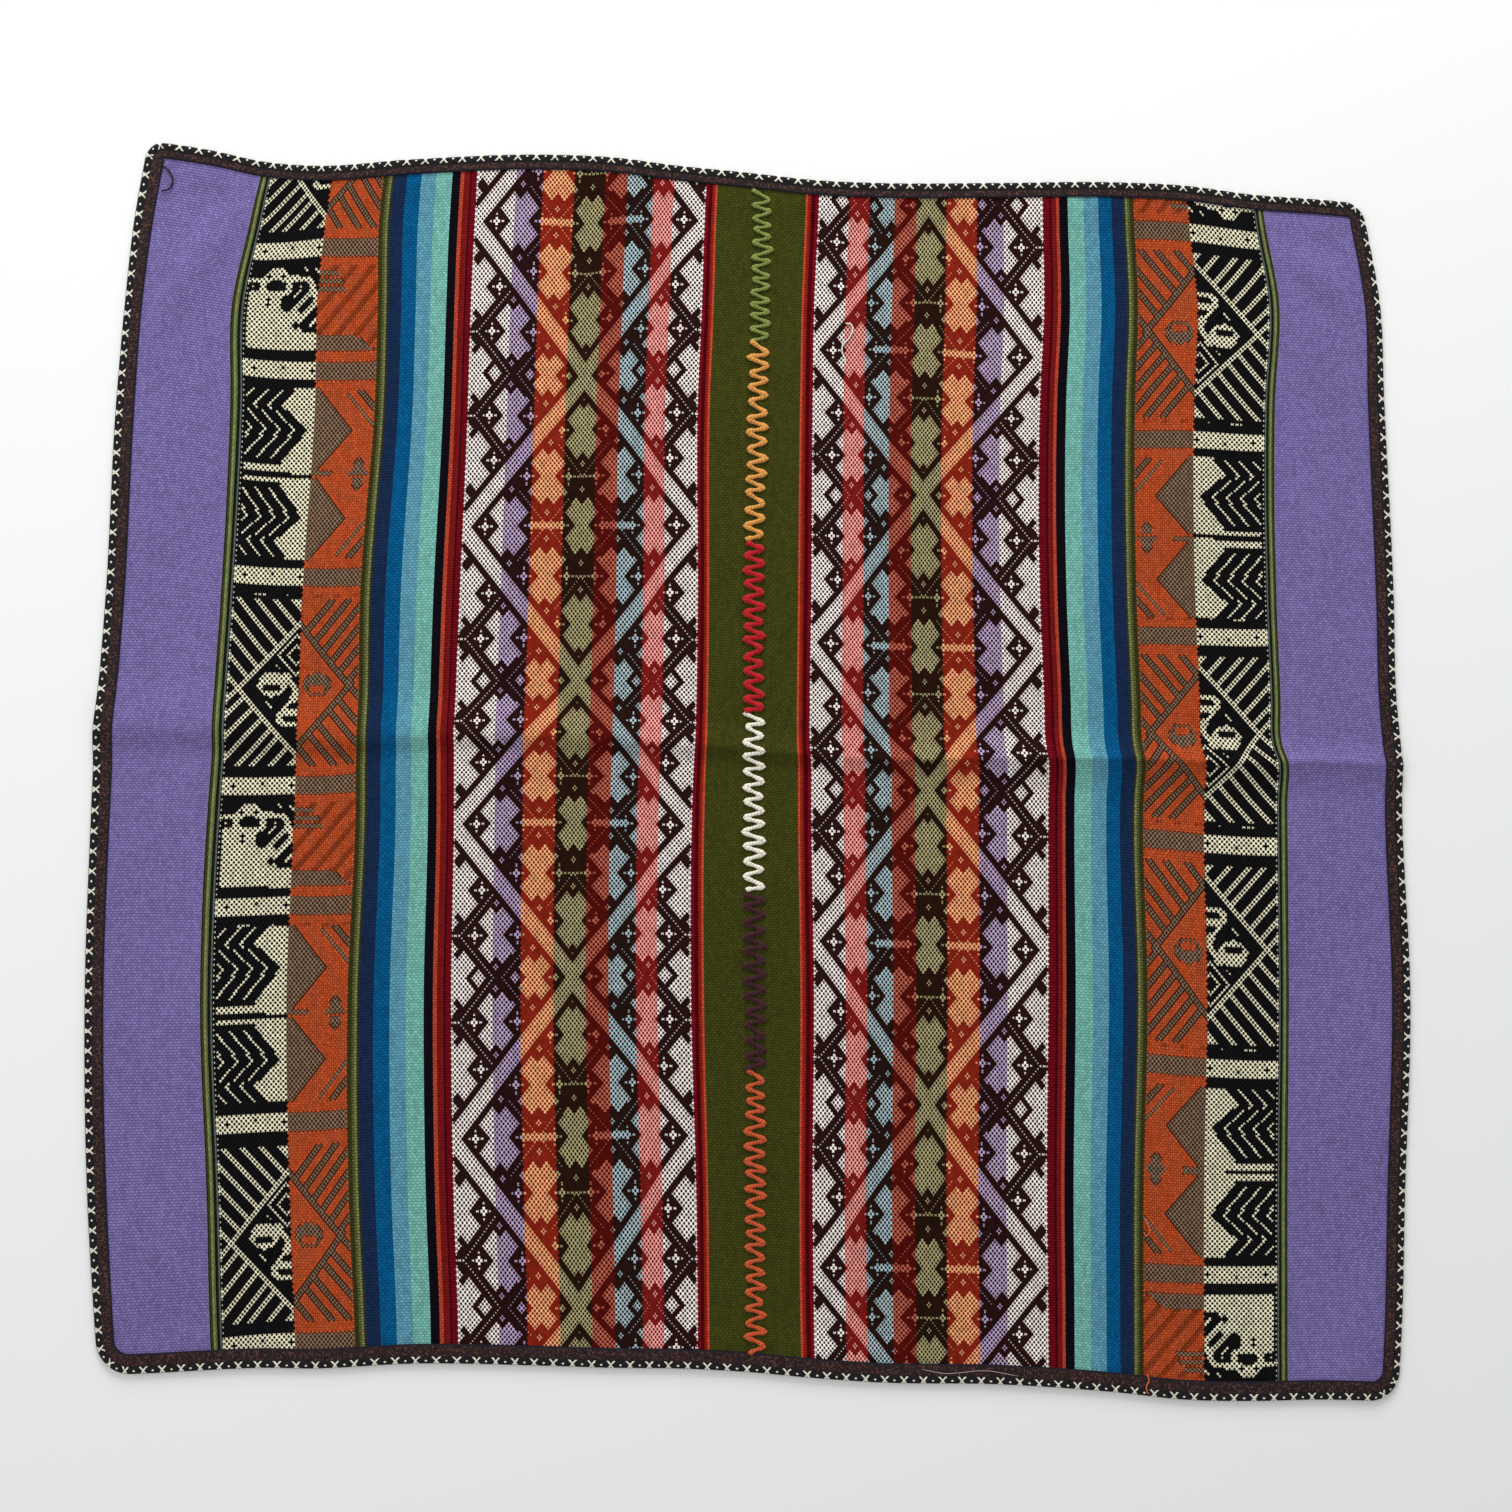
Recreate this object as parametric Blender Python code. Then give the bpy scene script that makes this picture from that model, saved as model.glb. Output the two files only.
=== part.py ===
# An aguayo carrying cloth laid out flat: two warp-striped woven panels that meet
# along a middle seam, and a woven edging folded round the whole cloth.
# All sizes are in millimetres. The objects are made in metres, +Z up.
# "Across" runs over the stripes, to the right, and "along" runs with the warp.
# Both are measured on the cloth as it was woven, before it was laid down.

import math

import bmesh
import bpy
import numpy as np

MM = 0.001

# The edged cloth as it was woven
FLAT_WIDTH = 940.0
FLAT_LENGTH = 868.0
CLOTH_THICKNESS = 1.3
CLEARANCE = 0.3

# The two panels meet here, a little right of the middle
SEAM_ACROSS = 5.0

# The edging: one strip folded round the raw edge, alike on both faces, whose two
# ends meet at a join in the top side
EDGING_PLY = 1.0
EDGING_ROOT = 4.6
EDGING_HEIGHT = 2 * EDGING_PLY + 2 * CLEARANCE + CLOTH_THICKNESS
EDGING_JOIN = -146.0
EDGING_WIDTHS = {"top": 11.0, "right": 13.0, "bottom": 14.5, "left": 14.0}
CORNER_RADII = {"top_right": 14.0, "top_left": 12.0, "bottom_left": 24.0, "bottom_right": 22.0}
CORNER_START_DEG = {"top_right": 0.0, "top_left": 90.0, "bottom_left": 180.0, "bottom_right": 270.0}
INNER_CORNER_RADIUS = 1.5
CORNER_STEPS = 5
CORNER_REACH = 26.0

# The panel's raw edge stands this far inside the edging's rim. The panel lies on
# the edging's lower ply there, and comes down to the surface past it.
PANEL_INSET = 5.5
PANEL_LIFT = EDGING_PLY + CLEARANCE
RAISED_TO = 17.0
DOWN_AT = 36.0

# Where the stripes' edges run on the laid cloth, for each height up the cloth.
# The cloth lies a little skewed and bowed.
GUIDE_NAMES = (
    "height", "left_edge", "purple_end", "float_end", "field_start", "field_end", "seam",
    "field2_start", "field2_end", "float2_start", "purple2_start", "right_edge",
)
GUIDES = (
    (-455, -468, -387, -282, -205, -37, 8, 51, 216, 288, 392, 471),
    (-397, -472, -390, -284, -206, -37, 6, 50, 216, 288, 392, 474),
    (-310, -477, -392, -288, -209, -38, 6, 49, 215, 288, 392, 476),
    (-165, -479, -397, -289, -211, -42, 6, 50, 216, 291, 393, 480),
    (-20, -474, -391, -283, -209, -41, 5, 48, 216, 288, 392, 474),
    (5, -473, -389, -283, -209, -40, 5, 48, 216, 289, 392, 474),
    (20, -473, -388, -282, -209, -39, 5, 47, 214, 287, 388, 473),
    (52, -470, -387, -281, -208, -38, 5, 47, 213, 286, 387, 470),
    (125, -464, -382, -280, -205, -37, 5, 48, 210, 283, 384, 468),
    (270, -456, -375, -269, -199, -37, 8, 49, 210, 282, 383, 461),
    (338, -450, -374, -267, -197, -34, 10, 50, 213, 284, 386, 458),
    (400, -443, -360, -266, -194, -32, 11, 53, 212, 281, 375, 447),
    (451, -434, -348, -260, -191, -29, 12, 55, 211, 279, 370, 437),
)
# The height at which the stripes keep their woven places
TRUE_HEIGHT = 52

# The cloth's two woven ends as they lie
END_NAMES = ("x", "top", "bottom")
ENDS = (
    (-473, 458.0, -436.0),
    (-433, 456.5, -434.5),
    (-387, 450.0, -432.0),
    (-350, 442.0, -430.5),
    (-315, 439.0, -431.0),
    (-243, 443.5, -427.5),
    (-146, 447.0, -429.0),
    (-97, 445.0, -430.5),
    (-50, 439.0, -431.0),
    (0, 434.0, -433.5),
    (50, 428.5, -438.0),
    (95, 426.5, -441.0),
    (183, 426.5, -442.5),
    (265, 427.0, -448.0),
    (317, 424.5, -453.5),
    (366, 418.0, -454.5),
    (413, 414.5, -453.5),
    (473, 408.5, -455.0),
)

# The crease left by folding the cloth in half: where its crest runs, how high it
# stands, how far it falls away above and below, and how round its crest is
CREASE_NAMES = ("across", "crest", "height", "above", "below", "roundness")
CREASE = (
    (-470, 23.0, 3.5, 40.0, 22.0, 1.0),
    (-235, 20.0, 4.5, 32.0, 16.0, 1.0),
    (-20, 17.0, 3.5, 22.0, 13.0, 0.6),
    (30, 17.0, 3.5, 20.0, 13.0, 0.3),
    (240, 20.0, 6.5, 26.0, 30.0, 0.0),
    (420, 28.0, 5.0, 20.0, 30.0, 0.0),
    (470, 29.0, 3.5, 18.0, 28.0, 0.0),
)
CREASE_MIDDLE = 20.0
CREASE_ROWS = (-32.0, -20.0, -11.0, -5.0, 0.0, 6.0, 14.0, 28.0)
CREASE_PULL = 90.0

# A point's height is found from the ends above and below it, and its place between
# the guides from its height, so the two are settled in turn
LAYING_TURNS = 4

# Soft swells left in the plain borders, as ovals
SWELL_NAMES = ("across", "along", "half_length", "half_width", "turn_deg", "height")
SWELLS = (
    (-422, 348, 105.0, 24.0, 60.0, 3.5),
    (-416, -214, 90.0, 22.0, 88.0, 2.2),
    (-415, -350, 50.0, 26.0, 80.0, 1.8),
    (424, 378, 60.0, 22.0, -38.0, 3.0),
)

# Stripes that stand up from the ground weave: grouped lines, long floats, the
# heavy green ribs and a ridge beside the seam
RIB_NAMES = ("across", "half_width", "height")
RIBS = (
    (-382.5, 5.0, 0.5),
    (-303.5, 18.0, 0.4),
    (-277.8, 3.6, 1.3),
    (13.5, 4.0, 0.8),
    (282.4, 3.6, 1.3),
    (308.5, 18.0, 0.4),
    (382.0, 5.0, 0.5),
)
RIB_FLANKS = (-1.2, -0.8, 0.8, 1.2)
RIB_FADE = 9.0

WIDEST_COLUMN = 32.0
WIDEST_ROW = 46.0
NARROWEST_STEP = 0.8
NARROWEST_EDGING_STEP = 14.0

PANEL_COLOUR = (0.216, 0.15, 0.445, 1.0)
EDGING_COLOUR = (0.048, 0.026, 0.023, 1.0)
WOOL_ROUGHNESS = 0.92
SHARP_DEG = 50.0


def columns_of(names, rows):
    """A table's columns, by name."""
    return dict(zip(names, np.array(rows, dtype=float).T))


def rows_of(names, rows):
    """A table's rows, each by its columns' names."""
    return [dict(zip(names, row)) for row in rows]


GUIDE = columns_of(GUIDE_NAMES, GUIDES)
END = columns_of(END_NAMES, ENDS)
FOLD = columns_of(CREASE_NAMES, CREASE)
GUIDE_LINES = [GUIDE[name] for name in GUIDE_NAMES[1:]]
TRUE_ROW = list(GUIDE["height"]).index(TRUE_HEIGHT)
TRUE_PLACES = [line[TRUE_ROW] for line in GUIDE_LINES]


def ease(part):
    """0 to 1, level at both ends."""
    part = min(max(part, 0.0), 1.0)
    return part * part * (3 - 2 * part)


def smooth(stations, values, at):
    """The smooth curve through the values at these stations."""
    slopes = np.gradient(values, stations)
    at = min(max(at, stations[0]), stations[-1])
    low = min(max(int(np.searchsorted(stations, at)) - 1, 0), len(stations) - 2)
    step = stations[low + 1] - stations[low]
    part = (at - stations[low]) / step
    rest = 1 - part
    start = rest * rest * ((1 + 2 * part) * values[low] + part * step * slopes[low])
    finish = part * part * ((1 + 2 * rest) * values[low + 1] - rest * step * slopes[low + 1])
    return start + finish


def laid_across(across, height):
    """Where a warp thread lies at this height."""
    low = min(max(int(np.searchsorted(TRUE_PLACES, across)) - 1, 0), len(TRUE_PLACES) - 2)
    part = (across - TRUE_PLACES[low]) / (TRUE_PLACES[low + 1] - TRUE_PLACES[low])
    left = smooth(GUIDE["height"], GUIDE_LINES[low], height)
    right = smooth(GUIDE["height"], GUIDE_LINES[low + 1], height)
    return left + (right - left) * part


def laid(across, along):
    """Where a point of the woven cloth lies on the surface."""
    part = along / FLAT_LENGTH + 0.5
    height = along
    for _ in range(LAYING_TURNS):
        x = laid_across(across, height)
        top = smooth(END["x"], END["top"], x)
        bottom = smooth(END["x"], END["bottom"], x)
        height = bottom + (top - bottom) * part
    return x, height


def crest_at(across):
    return smooth(FOLD["across"], FOLD["crest"], across)


def follow_crease(across, along):
    """Rows near the crease bend with it, so that its crest lies on one of them."""
    pull = ease(1 - abs(along - CREASE_MIDDLE) / CREASE_PULL)
    return along + pull * (crest_at(across) - CREASE_MIDDLE)


def crease_height(across, along):
    past = along - crest_at(across)
    side = "above" if past > 0 else "below"
    part = min(abs(past) / smooth(FOLD["across"], FOLD[side], across), 1.0)
    roundness = smooth(FOLD["across"], FOLD["roundness"], across)
    height = smooth(FOLD["across"], FOLD["height"], across)
    return height * (1 - part) ** 2 * (1 + 2 * part * roundness)


def inset_of(across, along):
    """The distance in from the edging's rim."""
    return min(FLAT_WIDTH / 2 - abs(across), FLAT_LENGTH / 2 - abs(along))


def swell_height(across, along):
    """The swells' height. The edging holds them down at the rim."""
    total = 0.0
    for swell in rows_of(SWELL_NAMES, SWELLS):
        turn = math.radians(swell["turn_deg"])
        right = across - swell["across"]
        up = along - swell["along"]
        lengthwise = (right * math.cos(turn) + up * math.sin(turn)) / swell["half_length"]
        sideways = (up * math.cos(turn) - right * math.sin(turn)) / swell["half_width"]
        total += swell["height"] * max(1 - lengthwise**2 - sideways**2, 0.0) ** 2
    return total * ease((inset_of(across, along) - RAISED_TO) / (DOWN_AT - RAISED_TO))


def fold_lift(across, along):
    """How far the folds hold the cloth off the surface."""
    return crease_height(across, along) + swell_height(across, along)


def margin_lift(across, along):
    """The panel's rise onto the edging's lower ply."""
    return PANEL_LIFT * (1 - ease((inset_of(across, along) - RAISED_TO) / (DOWN_AT - RAISED_TO)))


def rib_height(across, along):
    """The ribs' height over the ground weave, pressed flat under the edging."""
    total = 0.0
    for rib in rows_of(RIB_NAMES, RIBS):
        total += rib["height"] * math.exp(-(((across - rib["across"]) / rib["half_width"]) ** 4))
    return total * ease((inset_of(across, along) - RAISED_TO) / RIB_FADE)


def round_corner(across, along):
    """Draws the panel's square corners in to round ones."""
    name = ("top" if along > 0 else "bottom") + ("_right" if across > 0 else "_left")
    radius = max(CORNER_RADII[name] - PANEL_INSET, INNER_CORNER_RADIUS)
    centre_across = FLAT_WIDTH / 2 - PANEL_INSET - radius
    centre_along = FLAT_LENGTH / 2 - PANEL_INSET - radius
    out_across = (abs(across) - centre_across) / radius
    out_along = (abs(along) - centre_along) / radius
    if out_across <= 0 or out_along <= 0:
        return across, along
    round_across = centre_across + radius * out_across * math.sqrt(1 - out_along**2 / 2)
    round_along = centre_along + radius * out_along * math.sqrt(1 - out_across**2 / 2)
    return math.copysign(round_across, across), math.copysign(round_along, along)


def filled(fixed, widest):
    """These stations in order, with even ones between where a step is wider than this."""
    fixed = sorted(fixed)
    stations = [fixed[0]]
    for station in fixed[1:]:
        gap = station - stations[-1]
        if gap < NARROWEST_STEP:
            continue
        steps = math.ceil(gap / widest)
        stations += np.linspace(stations[-1], station, steps + 1)[1:].tolist()
    return stations


def thinned(stations, limit, narrowest):
    """The stations within the limit, with none nearer to the last than this."""
    kept = []
    for station in stations:
        if abs(station) < limit and (not kept or station - kept[-1] >= narrowest):
            kept.append(station)
    return kept


def margin_stations(half):
    """The steps by which the cloth rises onto the edging at one side."""
    middle = (RAISED_TO + DOWN_AT) / 2
    return [half - inset for inset in (PANEL_INSET, RAISED_TO, middle, DOWN_AT)]


def panel_columns():
    """The columns of the left and of the right panel."""
    outer = margin_stations(FLAT_WIDTH / 2)
    flanks = [
        rib["across"] + rib["half_width"] * part
        for rib in rows_of(RIB_NAMES, RIBS)
        for part in RIB_FLANKS
    ]
    left = [-place for place in outer] + [SEAM_ACROSS - CLEARANCE / 2]
    left += [place for place in flanks if place < SEAM_ACROSS]
    right = outer + [SEAM_ACROSS + CLEARANCE / 2]
    right += [place for place in flanks if place > SEAM_ACROSS]
    return filled(left, WIDEST_COLUMN), filled(right, WIDEST_COLUMN)


def panel_rows():
    outer = margin_stations(FLAT_LENGTH / 2)
    folds = [CREASE_MIDDLE + step for step in CREASE_ROWS]
    return filled([-place for place in outer] + folds + outer, WIDEST_ROW)


def panel_shape(columns, rows):
    """A woven panel: its underside as a bent grid, extruded up to its thickness."""
    shape = bmesh.new()
    last_column = len(columns) - 1
    last_row = len(rows) - 1
    bmesh.ops.create_grid(shape, x_segments=last_column, y_segments=last_row, size=1.0)
    thickness = shape.verts.layers.float.new("thickness")
    for vert in shape.verts:
        across = columns[round((vert.co.x + 1) / 2 * last_column)]
        along = follow_crease(across, rows[round((vert.co.y + 1) / 2 * last_row)])
        vert[thickness] = CLOTH_THICKNESS + rib_height(across, along)
        rise = margin_lift(across, along) + fold_lift(across, along)
        vert.co = (*laid(*round_corner(across, along)), rise)
    top = bmesh.ops.extrude_face_region(shape, geom=shape.faces[:], use_keep_orig=True)
    for item in top["geom"]:
        if isinstance(item, bmesh.types.BMVert):
            item.co.z += item[thickness]
    return shape


def edging_route(columns, rows):
    """The edging's stations, against the clock from its join: the panels' own
    stations along each side, and turns of an arc at each corner."""
    columns = thinned(columns, FLAT_WIDTH / 2 - CORNER_REACH, NARROWEST_EDGING_STEP)
    rows = thinned(rows, FLAT_LENGTH / 2 - CORNER_REACH, NARROWEST_STEP)
    half_gap = CLEARANCE / 2
    start = EDGING_JOIN - half_gap
    end = EDGING_JOIN + half_gap
    arc = [90.0 * step / CORNER_STEPS for step in range(CORNER_STEPS + 1)]
    route = [("top", start)]
    route += [("top", place) for place in reversed(columns) if place < start - NARROWEST_EDGING_STEP]
    route += [("top_left", turn) for turn in arc]
    route += [("left", place) for place in reversed(rows)]
    route += [("bottom_left", turn) for turn in arc]
    route += [("bottom", place) for place in columns]
    route += [("bottom_right", turn) for turn in arc]
    route += [("right", place) for place in rows]
    route += [("top_right", turn) for turn in arc]
    route += [("top", place) for place in reversed(columns) if place > end + NARROWEST_EDGING_STEP]
    route += [("top", end)]
    return route


def edging_width(place, at):
    """The edging's width at a station, shared between two sides at their corner."""
    if place in EDGING_WIDTHS:
        return EDGING_WIDTHS[place]
    end, side = place.split("_")
    turn = math.radians(at + CORNER_START_DEG[place])
    share = math.sin(turn) ** 2
    return EDGING_WIDTHS[side] * (1 - share) + EDGING_WIDTHS[end] * share


def edging_point(place, at, inset):
    """The woven place of a station, this far inside the rim."""
    half_width = FLAT_WIDTH / 2 - inset
    half_length = FLAT_LENGTH / 2 - inset
    if place == "top":
        return at, half_length
    if place == "bottom":
        return at, -half_length
    if place == "left":
        return -half_width, at
    if place == "right":
        return half_width, at
    radius = max(CORNER_RADII[place] - inset, INNER_CORNER_RADIUS)
    turn = math.radians(at + CORNER_START_DEG[place])
    side = 1 if place.endswith("right") else -1
    end = 1 if place.startswith("top") else -1
    across = side * (half_width - radius) + radius * math.cos(turn)
    along = end * (half_length - radius) + radius * math.sin(turn)
    return across, along


def edging_section(width):
    """The edging's section, as (inset from the rim, height): over the upper ply,
    round the slot that holds the cloth, and back under the lower ply."""
    slot_top = EDGING_HEIGHT - EDGING_PLY
    return (
        (0.0, 0.50 * EDGING_HEIGHT),
        (0.5, 0.80 * EDGING_HEIGHT),
        (1.9, 0.98 * EDGING_HEIGHT),
        (EDGING_ROOT, 0.97 * EDGING_HEIGHT),
        (EDGING_ROOT + 1.4, 0.91 * EDGING_HEIGHT),
        (width - 1.2, 0.95 * EDGING_HEIGHT),
        (width, slot_top + 0.4 * EDGING_PLY),
        (width - 0.3, slot_top),
        (EDGING_ROOT, slot_top),
        (EDGING_ROOT, EDGING_PLY),
        (width, EDGING_PLY),
        (width, 0.0),
        (2.2, 0.0),
        (0.6, 0.16 * EDGING_HEIGHT),
    )


def edging_shape(columns, rows):
    """The edging: its section carried round the cloth, with a face at each end."""
    shape = bmesh.new()
    rings = []
    for place, at in edging_route(columns, rows):
        ring = []
        for inset, height in edging_section(edging_width(place, at)):
            across, along = edging_point(place, at, inset)
            along = follow_crease(across, along)
            lift = fold_lift(across, along)
            ring.append(shape.verts.new((*laid(across, along), height + lift)))
        rings.append(ring)
    for ring, following in zip(rings, rings[1:]):
        for corner in range(len(ring)):
            sides = (ring[corner - 1], ring[corner], following[corner], following[corner - 1])
            shape.faces.new(sides)
    shape.faces.new(rings[0])
    shape.faces.new(rings[-1])
    return shape


def middle_of(shape):
    """The middle of a shape's outline on the surface."""
    places = np.array([vert.co[:2] for vert in shape.verts])
    return (places.min(axis=0) + places.max(axis=0)) / 2


def wool(name, colour):
    material = bpy.data.materials.new(name)
    material.use_nodes = True
    shader = material.node_tree.nodes["Principled BSDF"]
    shader.inputs["Base Color"].default_value = colour
    shader.inputs["Roughness"].default_value = WOOL_ROUGHNESS
    shader.inputs["Metallic"].default_value = 0.0
    return material


def add_object(name, shape, middle, material):
    """Sets the shape about the cloth's middle, in metres, and shows it."""
    bmesh.ops.recalc_face_normals(shape, faces=shape.faces[:])
    for vert in shape.verts:
        x, y, z = vert.co
        vert.co = ((x - middle[0]) * MM, (y - middle[1]) * MM, z * MM)
    mesh = bpy.data.meshes.new(name)
    shape.to_mesh(mesh)
    shape.free()
    mesh.materials.append(material)
    mesh.shade_smooth()
    mesh.set_sharp_from_angle(angle=math.radians(SHARP_DEG))
    bpy.context.scene.collection.objects.link(bpy.data.objects.new(name, mesh))


for old in list(bpy.data.objects):
    bpy.data.objects.remove(old)

left_columns, right_columns = panel_columns()
cloth_rows = panel_rows()
edging = edging_shape(left_columns + right_columns, cloth_rows)
cloth_middle = middle_of(edging)
panel_wool = wool("panel_wool", PANEL_COLOUR)
edging_wool = wool("edging_wool", EDGING_COLOUR)
add_object("panel_left", panel_shape(left_columns, cloth_rows), cloth_middle, panel_wool)
add_object("panel_right", panel_shape(right_columns, cloth_rows), cloth_middle, panel_wool)
add_object("edging", edging, cloth_middle, edging_wool)
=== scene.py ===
import math

import bpy
import numpy as np
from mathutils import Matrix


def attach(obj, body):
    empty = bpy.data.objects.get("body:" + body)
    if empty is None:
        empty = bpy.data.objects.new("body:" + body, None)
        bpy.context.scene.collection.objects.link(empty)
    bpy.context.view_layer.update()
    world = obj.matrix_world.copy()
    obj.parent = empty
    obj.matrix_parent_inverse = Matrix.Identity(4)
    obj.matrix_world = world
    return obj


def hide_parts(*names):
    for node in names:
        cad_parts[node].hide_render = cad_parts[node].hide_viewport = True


# An opened-out aguayo: two striped panels, the seam that joins them and the edging
# round them. "Across" and "along" are measured in millimetres on the cloth as it was
# woven, and the tables below say where the laid cloth has them.

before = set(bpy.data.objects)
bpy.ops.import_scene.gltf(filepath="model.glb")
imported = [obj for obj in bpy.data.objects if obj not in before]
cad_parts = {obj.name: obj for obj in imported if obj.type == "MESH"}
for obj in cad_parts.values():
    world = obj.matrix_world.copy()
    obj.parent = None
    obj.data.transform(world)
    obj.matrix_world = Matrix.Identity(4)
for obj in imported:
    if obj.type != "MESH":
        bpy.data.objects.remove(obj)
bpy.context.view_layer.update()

cloth = {
    "width": 940.0,
    "length": 868.0,
    "thickness": 1.3,
    "seam": 5.0,
    "middle": (0.43756, 0.41580),  # the laid outline's middle, where the frame has its origin
    "panelInset": 5.5,
    "panelLift": 1.3,
    "raisedTo": 17.0,
    "downAt": 36.0,
    "ribFade": 9.0,
    "leastRadius": 1.5,
    "cornerRadii": {"topRight": 14.0, "topLeft": 12.0, "bottomLeft": 24.0, "bottomRight": 22.0},
}

guideHeights = np.array((-455, -397, -310, -165, -20, 5, 20, 52, 125, 270, 338, 400, 451.0))
trueHeight = 52
guides = np.array((
    (-468, -387, -282, -205, -37, 8, 51, 216, 288, 392, 471),
    (-472, -390, -284, -206, -37, 6, 50, 216, 288, 392, 474),
    (-477, -392, -288, -209, -38, 6, 49, 215, 288, 392, 476),
    (-479, -397, -289, -211, -42, 6, 50, 216, 291, 393, 480),
    (-474, -391, -283, -209, -41, 5, 48, 216, 288, 392, 474),
    (-473, -389, -283, -209, -40, 5, 48, 216, 289, 392, 474),
    (-473, -388, -282, -209, -39, 5, 47, 214, 287, 388, 473),
    (-470, -387, -281, -208, -38, 5, 47, 213, 286, 387, 470),
    (-464, -382, -280, -205, -37, 5, 48, 210, 283, 384, 468),
    (-456, -375, -269, -199, -37, 8, 49, 210, 282, 383, 461),
    (-450, -374, -267, -197, -34, 10, 50, 213, 284, 386, 458),
    (-443, -360, -266, -194, -32, 11, 53, 212, 281, 375, 447),
    (-434, -348, -260, -191, -29, 12, 55, 211, 279, 370, 437),
), dtype=float)
ends = np.array((  # x, top end, bottom end
    (-473, 458.0, -436.0), (-433, 456.5, -434.5), (-387, 450.0, -432.0),
    (-350, 442.0, -430.5), (-315, 439.0, -431.0), (-243, 443.5, -427.5),
    (-146, 447.0, -429.0), (-97, 445.0, -430.5), (-50, 439.0, -431.0),
    (0, 434.0, -433.5), (50, 428.5, -438.0), (95, 426.5, -441.0),
    (183, 426.5, -442.5), (265, 427.0, -448.0), (317, 424.5, -453.5),
    (366, 418.0, -454.5), (413, 414.5, -453.5), (473, 408.5, -455.0),
)).T
crease = np.array((  # across, crest, height, reach above, reach below, roundness
    (-470, 23.0, 3.5, 40.0, 22.0, 1.0),
    (-235, 20.0, 4.5, 32.0, 16.0, 1.0),
    (-20, 17.0, 3.5, 22.0, 13.0, 0.6),
    (30, 17.0, 3.5, 20.0, 13.0, 0.3),
    (240, 20.0, 6.5, 26.0, 30.0, 0.0),
    (420, 28.0, 5.0, 20.0, 30.0, 0.0),
    (470, 29.0, 3.5, 18.0, 28.0, 0.0),
)).T
creaseMiddle = 20.0
creasePull = 90.0
swells = (  # across, along, half length, half width, turn in degrees, height
    (-422, 348, 105.0, 24.0, 60.0, 3.5),
    (-416, -214, 90.0, 22.0, 88.0, 2.2),
    (-415, -350, 50.0, 26.0, 80.0, 1.8),
    (424, 378, 60.0, 22.0, -38.0, 3.0),
)
ribs = (  # across, half width, height
    (-382.5, 5.0, 0.5), (-303.5, 18.0, 0.4), (-277.8, 3.6, 1.3), (13.5, 4.0, 0.8),
    (282.4, 3.6, 1.3), (308.5, 18.0, 0.4), (382.0, 5.0, 0.5),
)


def ease(part):
    part = np.clip(part, 0.0, 1.0)
    return part * part * (3 - 2 * part)


def smooth(stations, values, at):  # the smooth curve through the values
    slopes = np.gradient(values, stations)
    at = np.clip(at, stations[0], stations[-1])
    low = np.clip(np.searchsorted(stations, at) - 1, 0, len(stations) - 2)
    step = stations[low + 1] - stations[low]
    part = (at - stations[low]) / step
    rest = 1 - part
    start = rest * rest * ((1 + 2 * part) * values[low] + part * step * slopes[low])
    finish = part * part * ((1 + 2 * rest) * values[low + 1] - rest * step * slopes[low + 1])
    return start + finish


truePlaces = guides[list(guideHeights).index(trueHeight)]


def laidAcross(across, height):
    low = np.clip(np.searchsorted(truePlaces, across) - 1, 0, len(truePlaces) - 2)
    part = (across - truePlaces[low]) / (truePlaces[low + 1] - truePlaces[low])
    lines = np.stack([smooth(guideHeights, line, height) for line in guides.T])
    left = np.take_along_axis(lines, low[None], 0)[0]
    right = np.take_along_axis(lines, low[None] + 1, 0)[0]
    return left + (right - left) * part


def laid(across, along):  # where a point of the woven cloth lies
    part = along / cloth["length"] + 0.5
    height = along
    for _ in range(4):
        x = laidAcross(across, height)
        top = smooth(ends[0], ends[1], x)
        bottom = smooth(ends[0], ends[2], x)
        height = bottom + (top - bottom) * part
    return x, height


def followCrease(across, along):  # rows near the crease bend with its crest
    pull = ease(1 - abs(along - creaseMiddle) / creasePull)
    return along + pull * (smooth(crease[0], crease[1], across) - creaseMiddle)


def insetOf(across, along):  # how far in from the rim
    return np.minimum(cloth["width"] / 2 - abs(across), cloth["length"] / 2 - abs(along))


def foldLift(across, along):  # how far the crease and the swells hold the cloth up
    past = along - smooth(crease[0], crease[1], across)
    above = smooth(crease[0], crease[3], across)
    below = smooth(crease[0], crease[4], across)
    part = np.minimum(abs(past) / np.where(past > 0, above, below), 1.0)
    roundness = smooth(crease[0], crease[5], across)
    lift = smooth(crease[0], crease[2], across) * (1 - part) ** 2 * (1 + 2 * part * roundness)
    total = 0.0
    for middleAcross, middleAlong, halfLength, halfWidth, turnDeg, height in swells:
        turn = math.radians(turnDeg)
        right = across - middleAcross
        up = along - middleAlong
        lengthwise = (right * math.cos(turn) + up * math.sin(turn)) / halfLength
        sideways = (up * math.cos(turn) - right * math.sin(turn)) / halfWidth
        total = total + height * np.maximum(1 - lengthwise**2 - sideways**2, 0.0) ** 2
    inset = insetOf(across, along)
    start, finish = cloth["raisedTo"], cloth["downAt"]
    return lift + total * ease((inset - start) / (finish - start))


def marginLift(across, along):  # the rise onto the edging's lower ply
    start, finish = cloth["raisedTo"], cloth["downAt"]
    return cloth["panelLift"] * (1 - ease((insetOf(across, along) - start) / (finish - start)))


def ribHeight(across, along):
    total = 0.0
    for middle, halfWidth, height in ribs:
        total = total + height * np.exp(-(((across - middle) / halfWidth) ** 4))
    return total * ease((insetOf(across, along) - cloth["raisedTo"]) / cloth["ribFade"])


def inFrame(x, y, z):  # laid places in millimetres as points of the frame, in metres
    middle = cloth["middle"]
    return np.stack([x - middle[0], y - middle[1], z], axis=-1) * 0.001


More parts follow.
